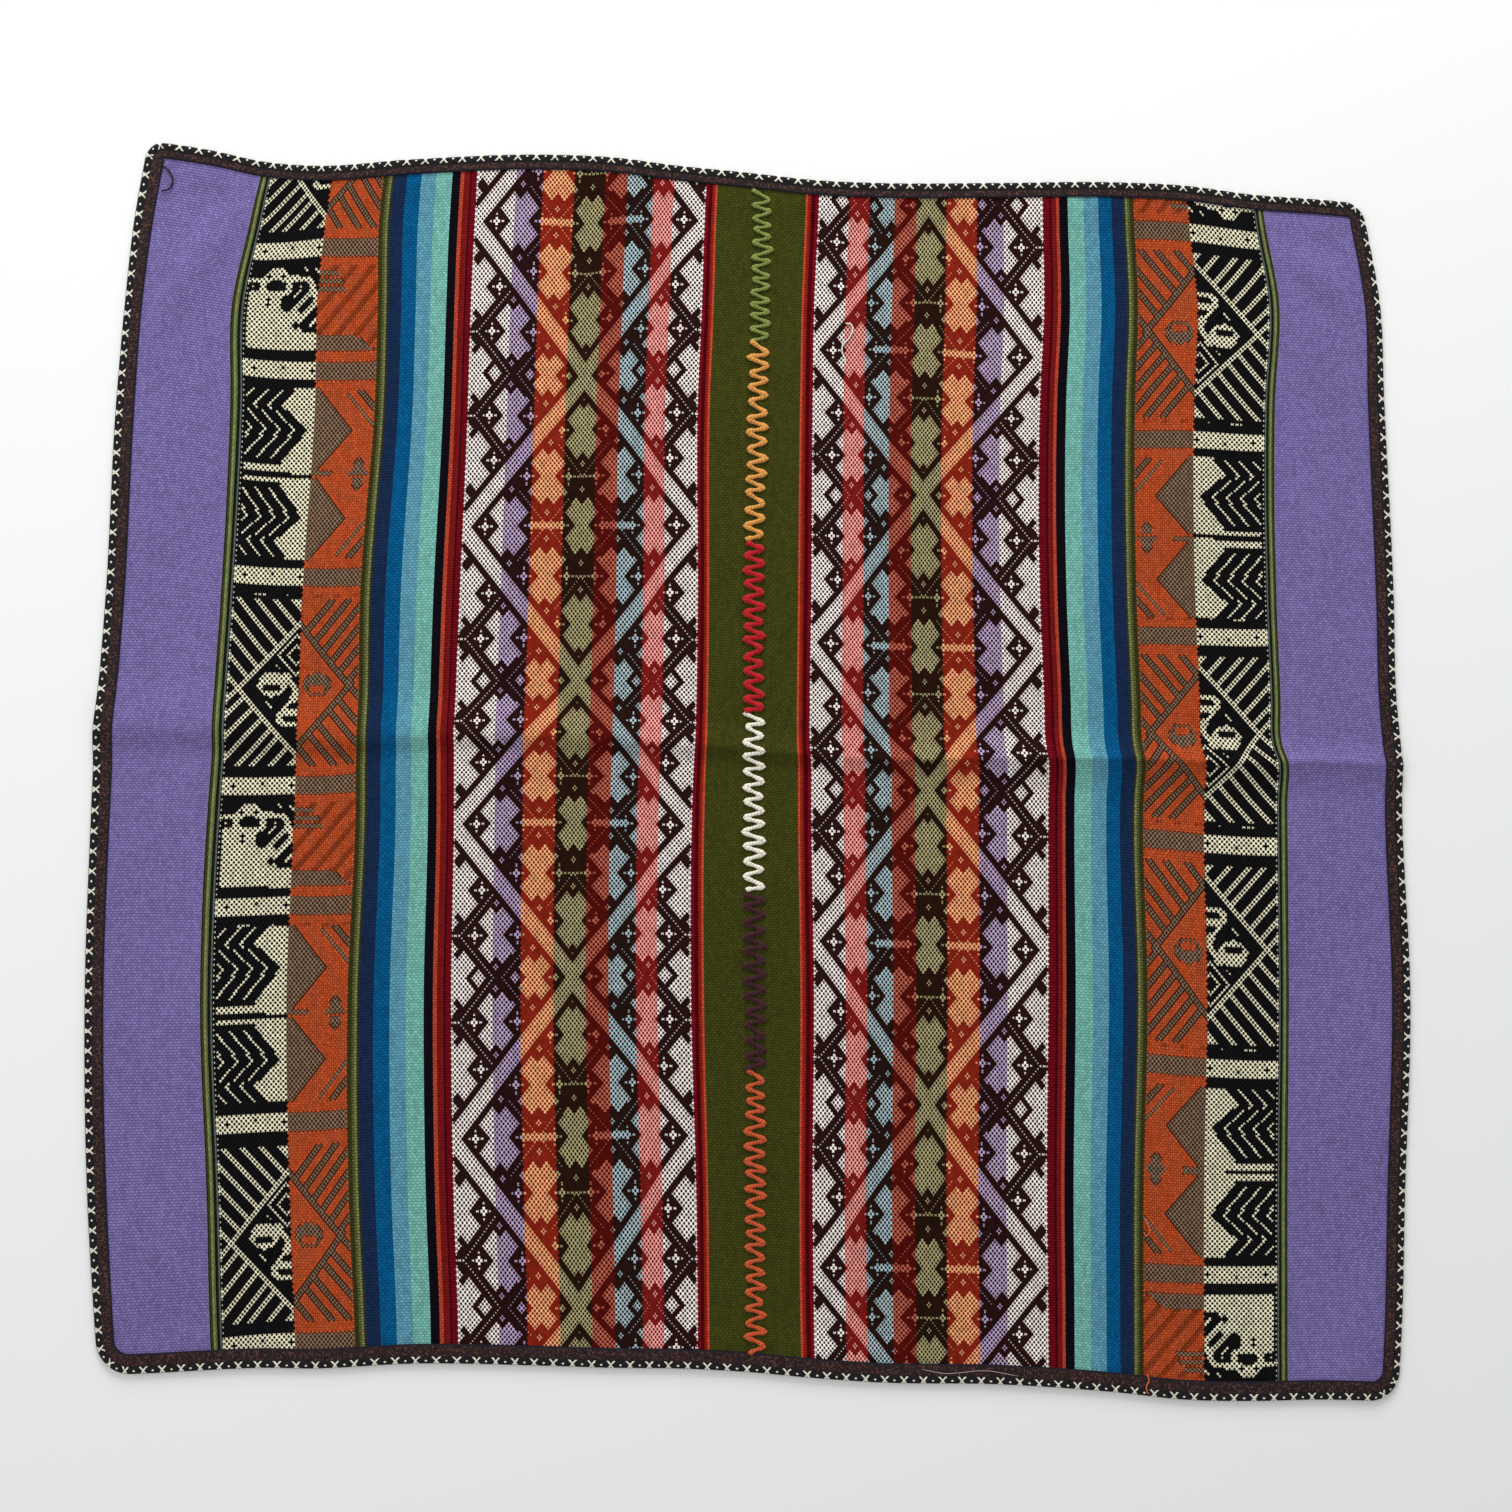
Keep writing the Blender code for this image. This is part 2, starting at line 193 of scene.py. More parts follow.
def onCloth(across, along, height=0.0):  # points standing this far above the cloth's top
    across, along = np.broadcast_arrays(np.asarray(across, float), np.asarray(along, float))
    x, y = laid(across, along)
    top = foldLift(across, along) + marginLift(across, along) + cloth["thickness"]
    return inFrame(x, y, top + ribHeight(across, along) + height)


# The weave's own lattice: which thread column and which pick row lies where.
# Columns are counted inwards from the outer purple, on both panels.
threadColumns = (0, 6, 36, 64, 69, 76, 82, 89, 97, 102, 106, 111, 130, 143, 158, 174, 184, 197,
                 208, 223, 228, 230)
leftThreads = (-386.2, -376.3, -324.3, -281.1, -272.6, -263.7, -252.2, -241.4, -229.3, -223.4,
               -217.4, -210.6, -181.0, -160.5, -136.6, -113.1, -96.3, -76.4, -61.0, -36.5, -30.6,
               -28.4)
rightThreads = (386.6, 378.5, 327.5, 285.1, 276.7, 268.3, 257.8, 246.6, 234.4, 227.4, 223.9,
                214.8, 185.7, 165.5, 142.3, 119.7, 103.0, 84.1, 68.8, 45.9, 39.0, 36.5)
threadPitch = 1.55
pickPitch = 1.87
halfRepeat = 58  # picks from a crossing of the field's ribbons to the next turn
leftField = {
    "firstPick": 58, "pickStep": 58, "across": (-195, -169, -124, -88, -51),
    "along": (
        (386.8, 386.5, 385.0, 392.0, 395.8), (278.0, 276.5, 275.5, 282.5, 287.2),
        (167.5, 168.0, 169.0, 171.0, 175.0), (56.5, 57.0, 57.5, 59.0, 61.5),
        (-46.0, -45.0, -44.0, -43.0, -42.0), (-157.0, -156.2, -155.0, -152.5, -150.5),
        (-272.5, -271.0, -269.0, -266.5, -265.5), (-393.2, -393.5, -392.5, -389.8, -388.5),
    ),
}
rightField = {
    "firstPick": 116, "pickStep": 58, "across": (60, 94, 130, 174, 202),
    "along": (
        (420.5, 415.5, 420.0, 418.0, 417.5), (311.5, 313.8, 313.0, 308.5, 307.8),
        (206.8, 208.0, 209.0, 206.5, 205.2), (99.2, 99.0, 98.5, 97.5, 98.0),
        (-6.5, -5.0, -5.0, -5.0, -6.5), (-117.0, -116.2, -116.5, -118.5, -119.5),
        (-233.5, -232.5, -232.5, -234.5, -235.0), (-353.5, -351.0, -351.2, -352.0, -350.0),
    ),
}
leftBand = {
    "picks": (73, 119, 199, 279, 325, 405, 485), "across": (-375, -325, -283),
    "along": (
        (368.5, 375.5, 373.0), (284.5, 286.0, 284.0), (135.0, 137.0, 136.0),
        (-18.0, -13.5, -12.5), (-105.0, -100.0, -100.0), (-260.0, -256.5, -254.5),
        (-418.0, -415.0, -415.0),
    ),
}
rightBand = {
    "picks": (53, 133, 213, 293, 373, 453), "across": (287, 327, 377),
    "along": (
        (-345.5, -344.0, -343.0), (-196.0, -196.0, -196.0), (-34.5, -35.0, -34.5),
        (110.0, 112.5, 116.0), (250.0, 253.0, 255.5), (400.5, 401.0, 401.0),
    ),
}


def threadsAt(across, left):  # thread column under each place across
    places = np.array(leftThreads if left else rightThreads)
    if not left:
        across, places = -across, -places
    inner = threadColumns[-1] + (across - places[-1]) / threadPitch
    outer = threadColumns[0] + (across - places[0]) / threadPitch
    within = np.interp(across, places, threadColumns)
    return np.where(across > places[-1], inner, np.where(across < places[0], outer, within))


def picksAt(across, along, table):  # pick row under each place, a column of the grid at a time
    if "picks" in table:
        picks = np.array(table["picks"], dtype=float)
    else:
        picks = table["firstPick"] + table["pickStep"] * np.arange(len(table["along"]), dtype=float)
    rows = np.empty_like(along)
    for index in range(across.shape[0]):
        middles = np.array([np.interp(across[index, 0], table["across"], line)
                            for line in table["along"]])
        order = np.argsort(middles)
        places, values = middles[order], picks[order] + 0.5
        pitch = pickPitch if values[-1] > values[0] else -pickPitch
        row = np.interp(along[index], places, values)
        row += np.minimum(along[index] - places[0], 0) / pitch
        row += np.maximum(along[index] - places[-1], 0) / pitch
        rows[index] = row
    return rows


def stationsBetween(start, finish, widest, finer=()):  # even steps, finer within some stretches
    places = [start]
    while places[-1] < finish:
        step = widest
        for low, high, fine in finer:
            if low <= places[-1] + 0.01 < high:
                step = min(step, fine)
        for low, high, fine in finer:
            if places[-1] < low < places[-1] + step:
                step = low - places[-1]
        places.append(min(places[-1] + step, finish))
    if places[-1] - places[-2] < 0.3 * widest:
        places.pop(-2)
    return np.array(places)


def roundCorner(across, along):  # draws a panel's square corners in to round ones
    result = [across.copy(), along.copy()]
    for name, radius in cloth["cornerRadii"].items():
        side = 1 if "Right" in name else -1
        end = 1 if "top" in name else -1
        radius = max(radius - cloth["panelInset"], cloth["leastRadius"])
        centreAcross = cloth["width"] / 2 - cloth["panelInset"] - radius
        centreAlong = cloth["length"] / 2 - cloth["panelInset"] - radius
        outAcross = (side * across - centreAcross) / radius
        outAlong = (end * along - centreAlong) / radius
        turn = (outAcross > 0) & (outAlong > 0)
        insideAcross, insideAlong = outAcross[turn], outAlong[turn]
        roundAcross = insideAcross * np.sqrt(1 - insideAlong**2 / 2)
        roundAlong = insideAlong * np.sqrt(1 - insideAcross**2 / 2)
        result[0][turn] = side * (centreAcross + radius * roundAcross)
        result[1][turn] = end * (centreAlong + radius * roundAlong)
    return result


def gridFaces(columns, rows):  # quads of a grid whose points run along each column in turn
    first = (np.arange(columns - 1)[:, None] * rows + np.arange(rows - 1)[None]).ravel()
    return np.stack([first, first + rows, first + rows + 1, first + 1], axis=1).tolist()


def tubeFaces(rings, sides):  # a tube's walls, ring after ring, and its two ends
    faces = []
    last = (rings - 1) * sides
    for low in range(0, last, sides):
        high = low + sides
        for side in range(sides):
            following = (side + 1) % sides
            faces.append((low + side, high + side, high + following, low + following))
    faces.append(tuple(range(sides)))
    faces.append(tuple(last + side for side in reversed(range(sides))))
    return faces


def meshObject(name, points, faces):
    mesh = bpy.data.meshes.new(name)
    mesh.from_pydata(points.tolist(), [], faces)
    mesh.shade_smooth()
    piece = bpy.data.objects.new(name, mesh)
    bpy.context.scene.collection.objects.link(piece)
    return piece


def pointAttribute(piece, name, values):  # values that the materials read at each point
    kind, field = ("FLOAT_VECTOR", "vector") if values.ndim == 2 else ("FLOAT", "value")
    layer = piece.data.attributes.new(name, kind, "POINT")
    layer.data.foreach_set(field, np.ascontiguousarray(values, dtype=np.float32).ravel())


def choose(piece):
    bpy.ops.object.select_all(action="DESELECT")
    piece.select_set(True)
    bpy.context.view_layer.objects.active = piece


def applied(piece, kind, **settings):  # adds a modifier and applies it
    choose(piece)
    modifier = piece.modifiers.new(kind.title(), kind)
    for name, value in settings.items():
        setattr(modifier, name, value)
    bpy.ops.object.modifier_apply(modifier=modifier.name)


panelSheet = {
    "step": 4.0,  # the grid's steps over the plain weave, in millimetres
    "ribStep": 1.2,
    "narrowRib": 10.0,  # only ribs narrower than this take those finer steps
    "ribSpan": 1.15,
    "seamStep": 1.0,
    "seamColumns": (-4.2, 3.6),  # where those start and end, from the seam
    "halfGap": 0.1,  # between the two selvedges
    "creaseStep": 2.0,
    "creaseSpan": 34.0,
    "ripple": 0.22,  # how far the weave's uneven tension lifts the cloth
    "pucker": 0.5,  # how deep each stitch pulls it in beside the seam
    "seamRise": 0.7,  # how far the two selvedges stand up beside the seam
    "riseReach": 9.0,
    "valley": 0.9,  # how deep the seam lies between them
    "valleyReach": 1.8,
    "stitchPitch": 10.4,
    "heldTo": 14.0,  # how far in the edging holds the cloth flat
    "heldFade": 14.0,
}


def handle(across, along):  # the light unevenness of a hand-woven cloth that has been folded
    ripple = np.sin(across / 23.0 + 1.7 * np.sin(along / 61.0)) * np.sin(along / 37.0 + 0.9)
    ripple += 0.6 * np.sin(across / 11.0 + along / 29.0) * np.sin(along / 19.0 - across / 47.0)
    return panelSheet["ripple"] * (ripple + 1.6)


def seamPull(across, along):  # the stitches draw the panels' selvedges down into the seam
    aside = across - cloth["seam"]
    near = np.exp(-((aside / panelSheet["riseReach"]) ** 2))
    beat = 0.5 + 0.5 * np.sin(2 * math.pi * along / panelSheet["stitchPitch"])
    rise = near * (panelSheet["seamRise"] - panelSheet["pucker"] * beat)
    deep = np.exp(-((aside / panelSheet["valleyReach"]) ** 2))
    return rise - panelSheet["valley"] * deep


def unevenness(across, along):  # both, fading out where the edging holds the cloth flat
    free = ease((insetOf(across, along) - panelSheet["heldTo"]) / panelSheet["heldFade"])
    return free * (handle(across, along) + seamPull(across, along))


def panelPiece(name, left):
    half = cloth["width"] / 2 - cloth["panelInset"]
    end = cloth["length"] / 2 - cloth["panelInset"]
    seam, step, gap = cloth["seam"], panelSheet["step"], panelSheet["halfGap"]
    span, ribStep = panelSheet["ribSpan"], panelSheet["ribStep"]
    finer = [(middle - width * span, middle + width * span, ribStep)
             for middle, width, _ in ribs if width < panelSheet["narrowRib"]]
    low, high = panelSheet["seamColumns"]
    finer.append((seam + low, seam + high, panelSheet["seamStep"]))
    start, finish = (-half, seam - gap) if left else (seam + gap, half)
    columns = stationsBetween(start, finish, step, finer)
    reach = panelSheet["creaseSpan"]
    folds = [(creaseMiddle - reach, creaseMiddle + reach, panelSheet["creaseStep"])]
    rows = stationsBetween(-end, end, step, folds)
    across, along = np.meshgrid(columns, rows, indexing="ij")
    along = followCrease(across, along)
    field, band = (leftField, leftBand) if left else (rightField, rightBand)
    picks = picksAt(across, along, field), picksAt(across, along, band)
    weave = np.stack([threadsAt(across, left), *picks], axis=-1)
    across, along = roundCorner(across, along)
    x, y = laid(across, along)
    lift = foldLift(across, along) + marginLift(across, along) + ribHeight(across, along)
    lift = np.maximum(lift + unevenness(across, along), 0.0)
    points = inFrame(x, y, lift + cloth["thickness"]).reshape(-1, 3)
    piece = meshObject(name, points, gridFaces(len(columns), len(rows)))
    pointAttribute(piece, "weave", weave.reshape(-1, 3))
    applied(piece, "SOLIDIFY", thickness=cloth["thickness"] * 0.001, offset=-1.0)
    piece.data.shade_smooth()
    return piece


leftPanel = panelPiece("left_panel_cloth", True)
rightPanel = panelPiece("right_panel_cloth", False)
print("panels laid:", len(leftPanel.data.polygons) + len(rightPanel.data.polygons), "faces")


edging = {
    "height": 3.9,
    "ply": 1.0,
    "root": 4.6,
    "join": -146.0,
    "widths": {"top": 11.0, "right": 13.0, "bottom": 14.5, "left": 14.0},
    "rimMiddles": {"top": 1.6, "right": 2.0, "bottom": 2.6, "left": 3.2},  # of the white figures
    "step": 2.4,
    "innerTurn": 1.5,  # how far short of a corner's centre the upper ply stops
    "leastReach": 0.3,
    "foldTurn": 0.71,  # the rest of it runs on towards the panel at 45 degrees
    "sharpDeg": 55.0,
}


def edgingRoute():  # along the rim against the clock from the join: place, and width there
    halfWidth, halfLength = cloth["width"] / 2, cloth["length"] / 2
    widths, middles = edging["widths"], edging["rimMiddles"]
    outward = {"top": (0, 1), "left": (-1, 0), "bottom": (0, -1), "right": (1, 0)}
    sides = (  # side, the corner it ends at, the angle there, from and to, the next side
        ("top", "topLeft", 90, (edging["join"], -halfWidth), "left"),
        ("left", "bottomLeft", 180, (halfLength, -halfLength), "bottom"),
        ("bottom", "bottomRight", 270, (-halfWidth, halfWidth), "right"),
        ("right", "topRight", 0, (-halfLength, halfLength), "top"),
        ("top", None, 0, (halfWidth, edging["join"]), None),
    )
    route = []
    startRadius = 0.0
    for side, corner, startDeg, (start, finish), following in sides:
        radius = cloth["cornerRadii"][corner] if corner else 0.0
        way = 1 if finish > start else -1
        first = start + way * startRadius
        last = finish - way * radius
        count = max(2, round(abs(last - first) / edging["step"]))
        outX, outY = outward[side]
        for place in np.linspace(first, last, count + 1):
            point = (place, outY * halfLength) if outY else (outX * halfWidth, place)
            route.append((point, (-outX, -outY), widths[side], None, middles[side]))
        if corner:
            cornerX, cornerY = np.add(outward[side], outward[following])
            centre = (cornerX * (halfWidth - radius), cornerY * (halfLength - radius))
            turns = max(8, round(radius * math.pi / 2 / edging["step"]))
            for step in range(1, turns):
                turn = math.radians(startDeg + 90 * step / turns)
                share = step / turns
                width = widths[side] * (1 - share) + widths[following] * share
                middle = middles[side] * (1 - share) + middles[following] * share
                out = (math.cos(turn), math.sin(turn))
                point = (centre[0] + radius * out[0], centre[1] + radius * out[1])
                route.append((point, (-out[0], -out[1]), width, radius, middle))
        startRadius = radius
    return route


def edgingSection(width):  # inset from the rim and height, over the top ply and back below
    height, ply, root = edging["height"], edging["ply"], edging["root"]
    slotTop = height - ply
    return (
        (0.0, 0.50 * height), (0.12, 0.66 * height), (0.5, 0.82 * height),
        (1.1, 0.93 * height), (1.9, 0.985 * height), (2.9, 1.0 * height),
        (3.9, 0.985 * height), (root, 0.955 * height), (root + 0.7, 0.91 * height),
        (root + 1.4, 0.915 * height), (0.45 * (width + root + 2), 0.945 * height),
        (width - 2.2, 0.96 * height), (width - 1.2, 0.945 * height),
        (width - 0.3, 0.89 * height), (width, slotTop + 0.4 * ply),
        (width - 0.3, slotTop), (root, slotTop), (root, ply), (width, ply), (width, 0.0),
        (2.2, 0.0), (0.6, 0.16 * height), (0.15, 0.33 * height),
    )


def edgingPiece():
    rings, marks, plyWidths = [], [], []
    lengthwise = 0.0
    before = None
    for point, inward, width, radius, rimMiddle in edgingRoute():
        if before:
            lengthwise += math.dist(point, before)
        before = point
        section = np.array(edgingSection(width))
        reach = inset = section[:, 0]
        if radius is not None:
            least = edging["leastReach"] * inset
            reach = np.minimum(inset, np.maximum(radius - edging["innerTurn"], least))
        fold = (inset - reach) * edging["foldTurn"]
        across = point[0] + inward[0] * reach - np.sign(point[0]) * fold
        along = point[1] + inward[1] * reach - np.sign(point[1]) * fold
        along = followCrease(across, along)
        x, y = laid(across, along)
        rings.append(inFrame(x, y, section[:, 1] + foldLift(across, along)))
        marks.append(np.stack(np.broadcast_arrays(lengthwise, inset, rimMiddle), axis=-1))
        plyWidths.append(np.full(len(inset), width))
    faces = tubeFaces(len(rings), len(rings[0]))
    piece = meshObject("cloth_edging", np.concatenate(rings), faces)
    pointAttribute(piece, "braid", np.concatenate(marks))
    pointAttribute(piece, "ply_width", np.concatenate(plyWidths))
    choose(piece)
    bpy.ops.object.mode_set(mode="EDIT")
    bpy.ops.mesh.select_all(action="SELECT")
    bpy.ops.mesh.normals_make_consistent(inside=False)
    bpy.ops.object.mode_set(mode="OBJECT")
    bpy.ops.object.shade_smooth_by_angle(angle=math.radians(edging["sharpDeg"]))
    return piece


clothEdging = edgingPiece()
print("edging folded on:", len(clothEdging.data.polygons), "faces")


# The sheet of charts, as a weaver would draw them on squared paper: 60 thread columns
# wide, a row for each pick, True where the light yarn is up. A quarter of the field's
# repeat comes first, then the side band's sections: bar, animal, half a zigzag, diamond.
sheetColumns = 60
sheetRows = 224
barStart, animalStart, zigzagStart, diamondStart = 64, 78, 110, 144
barRows, animalRows, zigzagRows, diamondRows = 14, 32, 34, 66
creamColumns, bandColumns = 30, 58  # the band's cream part, and the whole of it
twillColumn = 58  # marks the rows where the band's orange floats run in a twill
sheet = np.zeros((sheetRows, sheetColumns), dtype=bool)


def cells(start, rows):  # a stretch of the sheet, and grids of its columns and its own rows
    down, right = np.mgrid[0:rows, 0:sheetColumns]
    return sheet[start : start + rows], (right, down)


def inCream(right):
    return right < creamColumns


def inOrange(right):
    return (right >= creamColumns) & (right < bandColumns)


def steps(grid, column, row):  # how many cells away, counted across and down
    return abs(grid[0] - column) + abs(grid[1] - row)


def lines(value, *offsets):  # lines three cells wide where the value is one of the offsets
    return np.any([abs(value - offset) <= 1 for offset in offsets], axis=0)


def oval(grid, middle, radii):
    right, down = grid
    return ((right - middle[0]) / radii[0]) ** 2 + ((down - middle[1]) / radii[1]) ** 2 <= 1


def stroke(grid, start, end, width):  # the cells within half a width of a straight stroke
    right, down = grid
    run = np.subtract(end, start).astype(float)
    part = ((right - start[0]) * run[0] + (down - start[1]) * run[1]) / (run @ run)
    part = np.clip(part, 0, 1)
    away = np.hypot(right - start[0] - part * run[0], down - start[1] - part * run[1])
    return away <= width / 2


def drawField():  # from the crossing of the ribbons outwards
    part, grid = cells(0, halfRepeat + 1)
    right, down = grid
    blocks = (  # column, row, height of the two peaks
        (36, 16, 11), (54, 33, 11), (54, 0, 10), (18, 0, 8), (0, 21, 11), (17, 39, 11),
        (35, 58, 11), (0, 58, 11),
    )
    for column, row, height in blocks:
        aside = abs(right - column)
        away = abs(down - row)
        part |= (away <= height - abs(aside - 3)) & (aside <= 6)
        part |= (away <= height - 4) & (aside <= 9)
    for row in (11, 21, 47):
        part |= steps(grid, 57, row) <= 3
    crosses = ((46, 16), (26, 16), (43, 33), (8, 0), (11, 21), (7, 39), (27, 39), (46, 58),
               (24, 58), (10, 58))
    for column, row in crosses:
        aside = abs(right - column)
        away = abs(down - row)
        part[aside + away <= 6] = False
        near, far = np.minimum(aside, away), np.maximum(aside, away)
        part |= ((near == 0) & (far <= 4)) | ((near == 1) & (far == 1))
    for column in (28, 44):
        part[steps(grid, column, 0) <= 5] = False
        part |= steps(grid, column, 0) <= 3
    thin = (  # lines of the light yarn, with the dark on both sides
        (37, 0, 53, 16), (53, 16, 37, 32), (33, 0, 18, 15), (15, 24, 0, 39),
        (33, 42, 17, 58), (16, 57, 7, 48),
    )
    for line in thin:
        part[stroke(grid, line[:2], line[2:], 4.4)] = False
    for line in thin:
        part |= stroke(grid, line[:2], line[2:], 0.9) & ((right + down) % 2 == 1)
    for column, row in ((36, 28), (36, 4), (34, 44), (16, 26), (17, 53), (19, 11), (0, 8),
                        (0, 34), (0, 44)):
        part[steps(grid, column, row) <= 3] = False
        part |= steps(grid, column, row) <= 1
    part |= (down >= halfRepeat - 1) & (right >= 11) & (right <= 23)
    part |= (down == 39) & (right <= 7)
    part |= (down == 16) & (right > 53)
    ribbon = right - down + 1
    part[abs(ribbon) <= 7] = False
    part |= abs(ribbon) <= 4


def drawBar():
    part, grid = cells(barStart, barRows)
    right, down = grid
    part |= (down >= 4) & (down <= 10) & (right < bandColumns)
    for column, row in ((4, 7), (16, 6), (28, 7)):
        part[(right == column) & (down == row)] = False


def drawAnimal():
    part, grid = cells(animalStart, animalRows)
    right, down = grid
    cream = inCream(right)
    edge = np.interp(down, (9, 12, 14, 16, 18, 20, 22, 24, 26),
                     (15.5, 14.5, 15, 17, 20.5, 23, 22.5, 24, 30))
    part |= (down >= 9) & (right >= 1) & (right < edge) & cream
    part |= oval(grid, (11.5, 7), (7, 7.6))
    part[(right + down < 10) & (down > 5)] = False
    part[oval(grid, (11.6, 6.8), (4.3, 2))] = False
    for start, end, width in (
        ((28, 11.5), (20, 19.5), 6.6), ((18, 4.2), (25, 4.4), 2.6),
        ((25, 4.6), (27.4, 7.4), 2.6), ((27.4, 7.4), (26.6, 10), 2.6),
        ((22.3, 7.6), (19.4, 11.4), 1.4), ((1, 4.8), (5, 4.3), 2.2), ((1, 7), (1.6, 7.4), 1.2),
        ((23, 0.6), (24.3, 1.8), 1.3), ((27.5, 0.8), (29, 2.6), 1.3),
    ):
        part |= stroke(grid, start, end, width) & cream
    part[oval(grid, (16.8, 13.4), (2.5, 2.9))] = False
    part[stroke(grid, (26.5, 12.8), (22.8, 16.3), 1.9)] = False
    for column, row in ((8, 3), (14, 3), (9, 12), (9, 14), (21, 22)):
        part[steps(grid, column, row) < 1 + (row > 20)] = False
    part |= (right >= 27) & cream & ((down >= 25) | lines(right + down, 49))
    orange = inOrange(right)
    part |= orange & (right < 37 + 0.7 * down) & (down >= 2) & (down <= 9) & (down % 3 != 1)
    part |= orange & (right < 49 + 1.5 * (down - 26)) & (down >= 26)
    part |= right == twillColumn


def drawZigzag():
    part, grid = cells(zigzagStart, zigzagRows)
    right, down = grid
    cream = inCream(right)
    zig = np.interp(down, (0, 6.5, 16, 27), (5, -1, 10.5, 1.5))
    run = (down >= 1) & (down <= 27) & cream & (right >= 1)
    past = right - zig
    part |= run & lines(past, 11, 5, -1, -7)
    part |= (past >= 16) & (down <= 27) & cream
    part |= (right >= 17) & (down > 27) & cream
    part |= (down >= 30) & (down <= 32) & cream & (right >= 1)
    part[(down == 33) & (right <= 20)] = False
    orange = inOrange(right)
    wide = np.maximum(creamColumns + 18 - abs(down - 16), creamColumns + 3)
    part |= orange & (right < wide)
    part |= orange & (right < 40) & (down >= 32)
    part |= orange & (abs(right - 52) / 5 + abs(down - 33) / 7 <= 1)
    for offset, first, last in ((43, 2, 14), (50, 1, 8)):
        part |= orange & lines(right - down, offset) & (down >= first) & (down <= last)


def drawDiamond():
    part, grid = cells(diamondStart, diamondRows)
    right, down = grid
    cream = inCream(right)
    rising = right + down
    falling = right - down
    body = cream & (down >= 2)
    above = body & (rising <= 40)
    below = body & (falling <= -32)
    part |= above & lines(falling, -32, -24, -16, -8, 0, 8, 16)
    part |= above & (falling >= 23)
    part |= body & (lines(rising, 40) | lines(falling, -32))
    part |= below & lines(rising, 46, 54, 62, 70, 76, 84)
    part |= below & (rising >= 91)
    ring = steps(grid, 28, 23)
    for radius in (3, 7):
        part |= cream & ((ring == radius + 1) | (ring == radius))
    part |= stroke(grid, (24, 30.5), (29.5, 38.5), 2.8) & cream
    part |= stroke(grid, (29.5, 37.5), (24, 44), 3.6) & cream
    for middle, radii, hole, holeRadii in (
        ((18.2, 34.2), (6.3, 4.9), (18, 35.6), (4.2, 1.2)),
        ((26.5, 47), (6.4, 4), (28, 47.2), (4.6, 1.2)),
    ):
        part |= oval(grid, middle, radii) & cream
        part[oval(grid, hole, holeRadii) & cream] = False
    part[oval(grid, (28, 42.7), (3, 0.9)) & cream] = False
    for start, end in (((18, 28), (19.5, 26.5)), ((19.5, 26.5), (21, 28)),
                       ((16.5, 41), (18.5, 43.5)), ((18.5, 43.5), (21, 41))):
        part |= stroke(grid, start, end, 1.1) & cream
    orange = inOrange(right) & (down >= 2)
    part |= orange & (falling >= 18) & lines(rising, 46, 54, 62, 70, 78, 86)
    part |= orange & (rising >= 88) & lines(falling, -28, -18, -10, 0, 8)
    part |= orange & lines(falling, 18) & (down <= 42)
    part |= orange & lines(rising, 88) & (down >= 34)
    part |= orange & oval(grid, (37.7, 34.3), (6.6, 4.7))
    part[orange & oval(grid, (38, 36), (4.3, 1.3))] = False


drawField()
drawBar()
drawAnimal()
drawZigzag()
drawDiamond()
print("charts drawn:", int(sheet.sum()), "light cells")


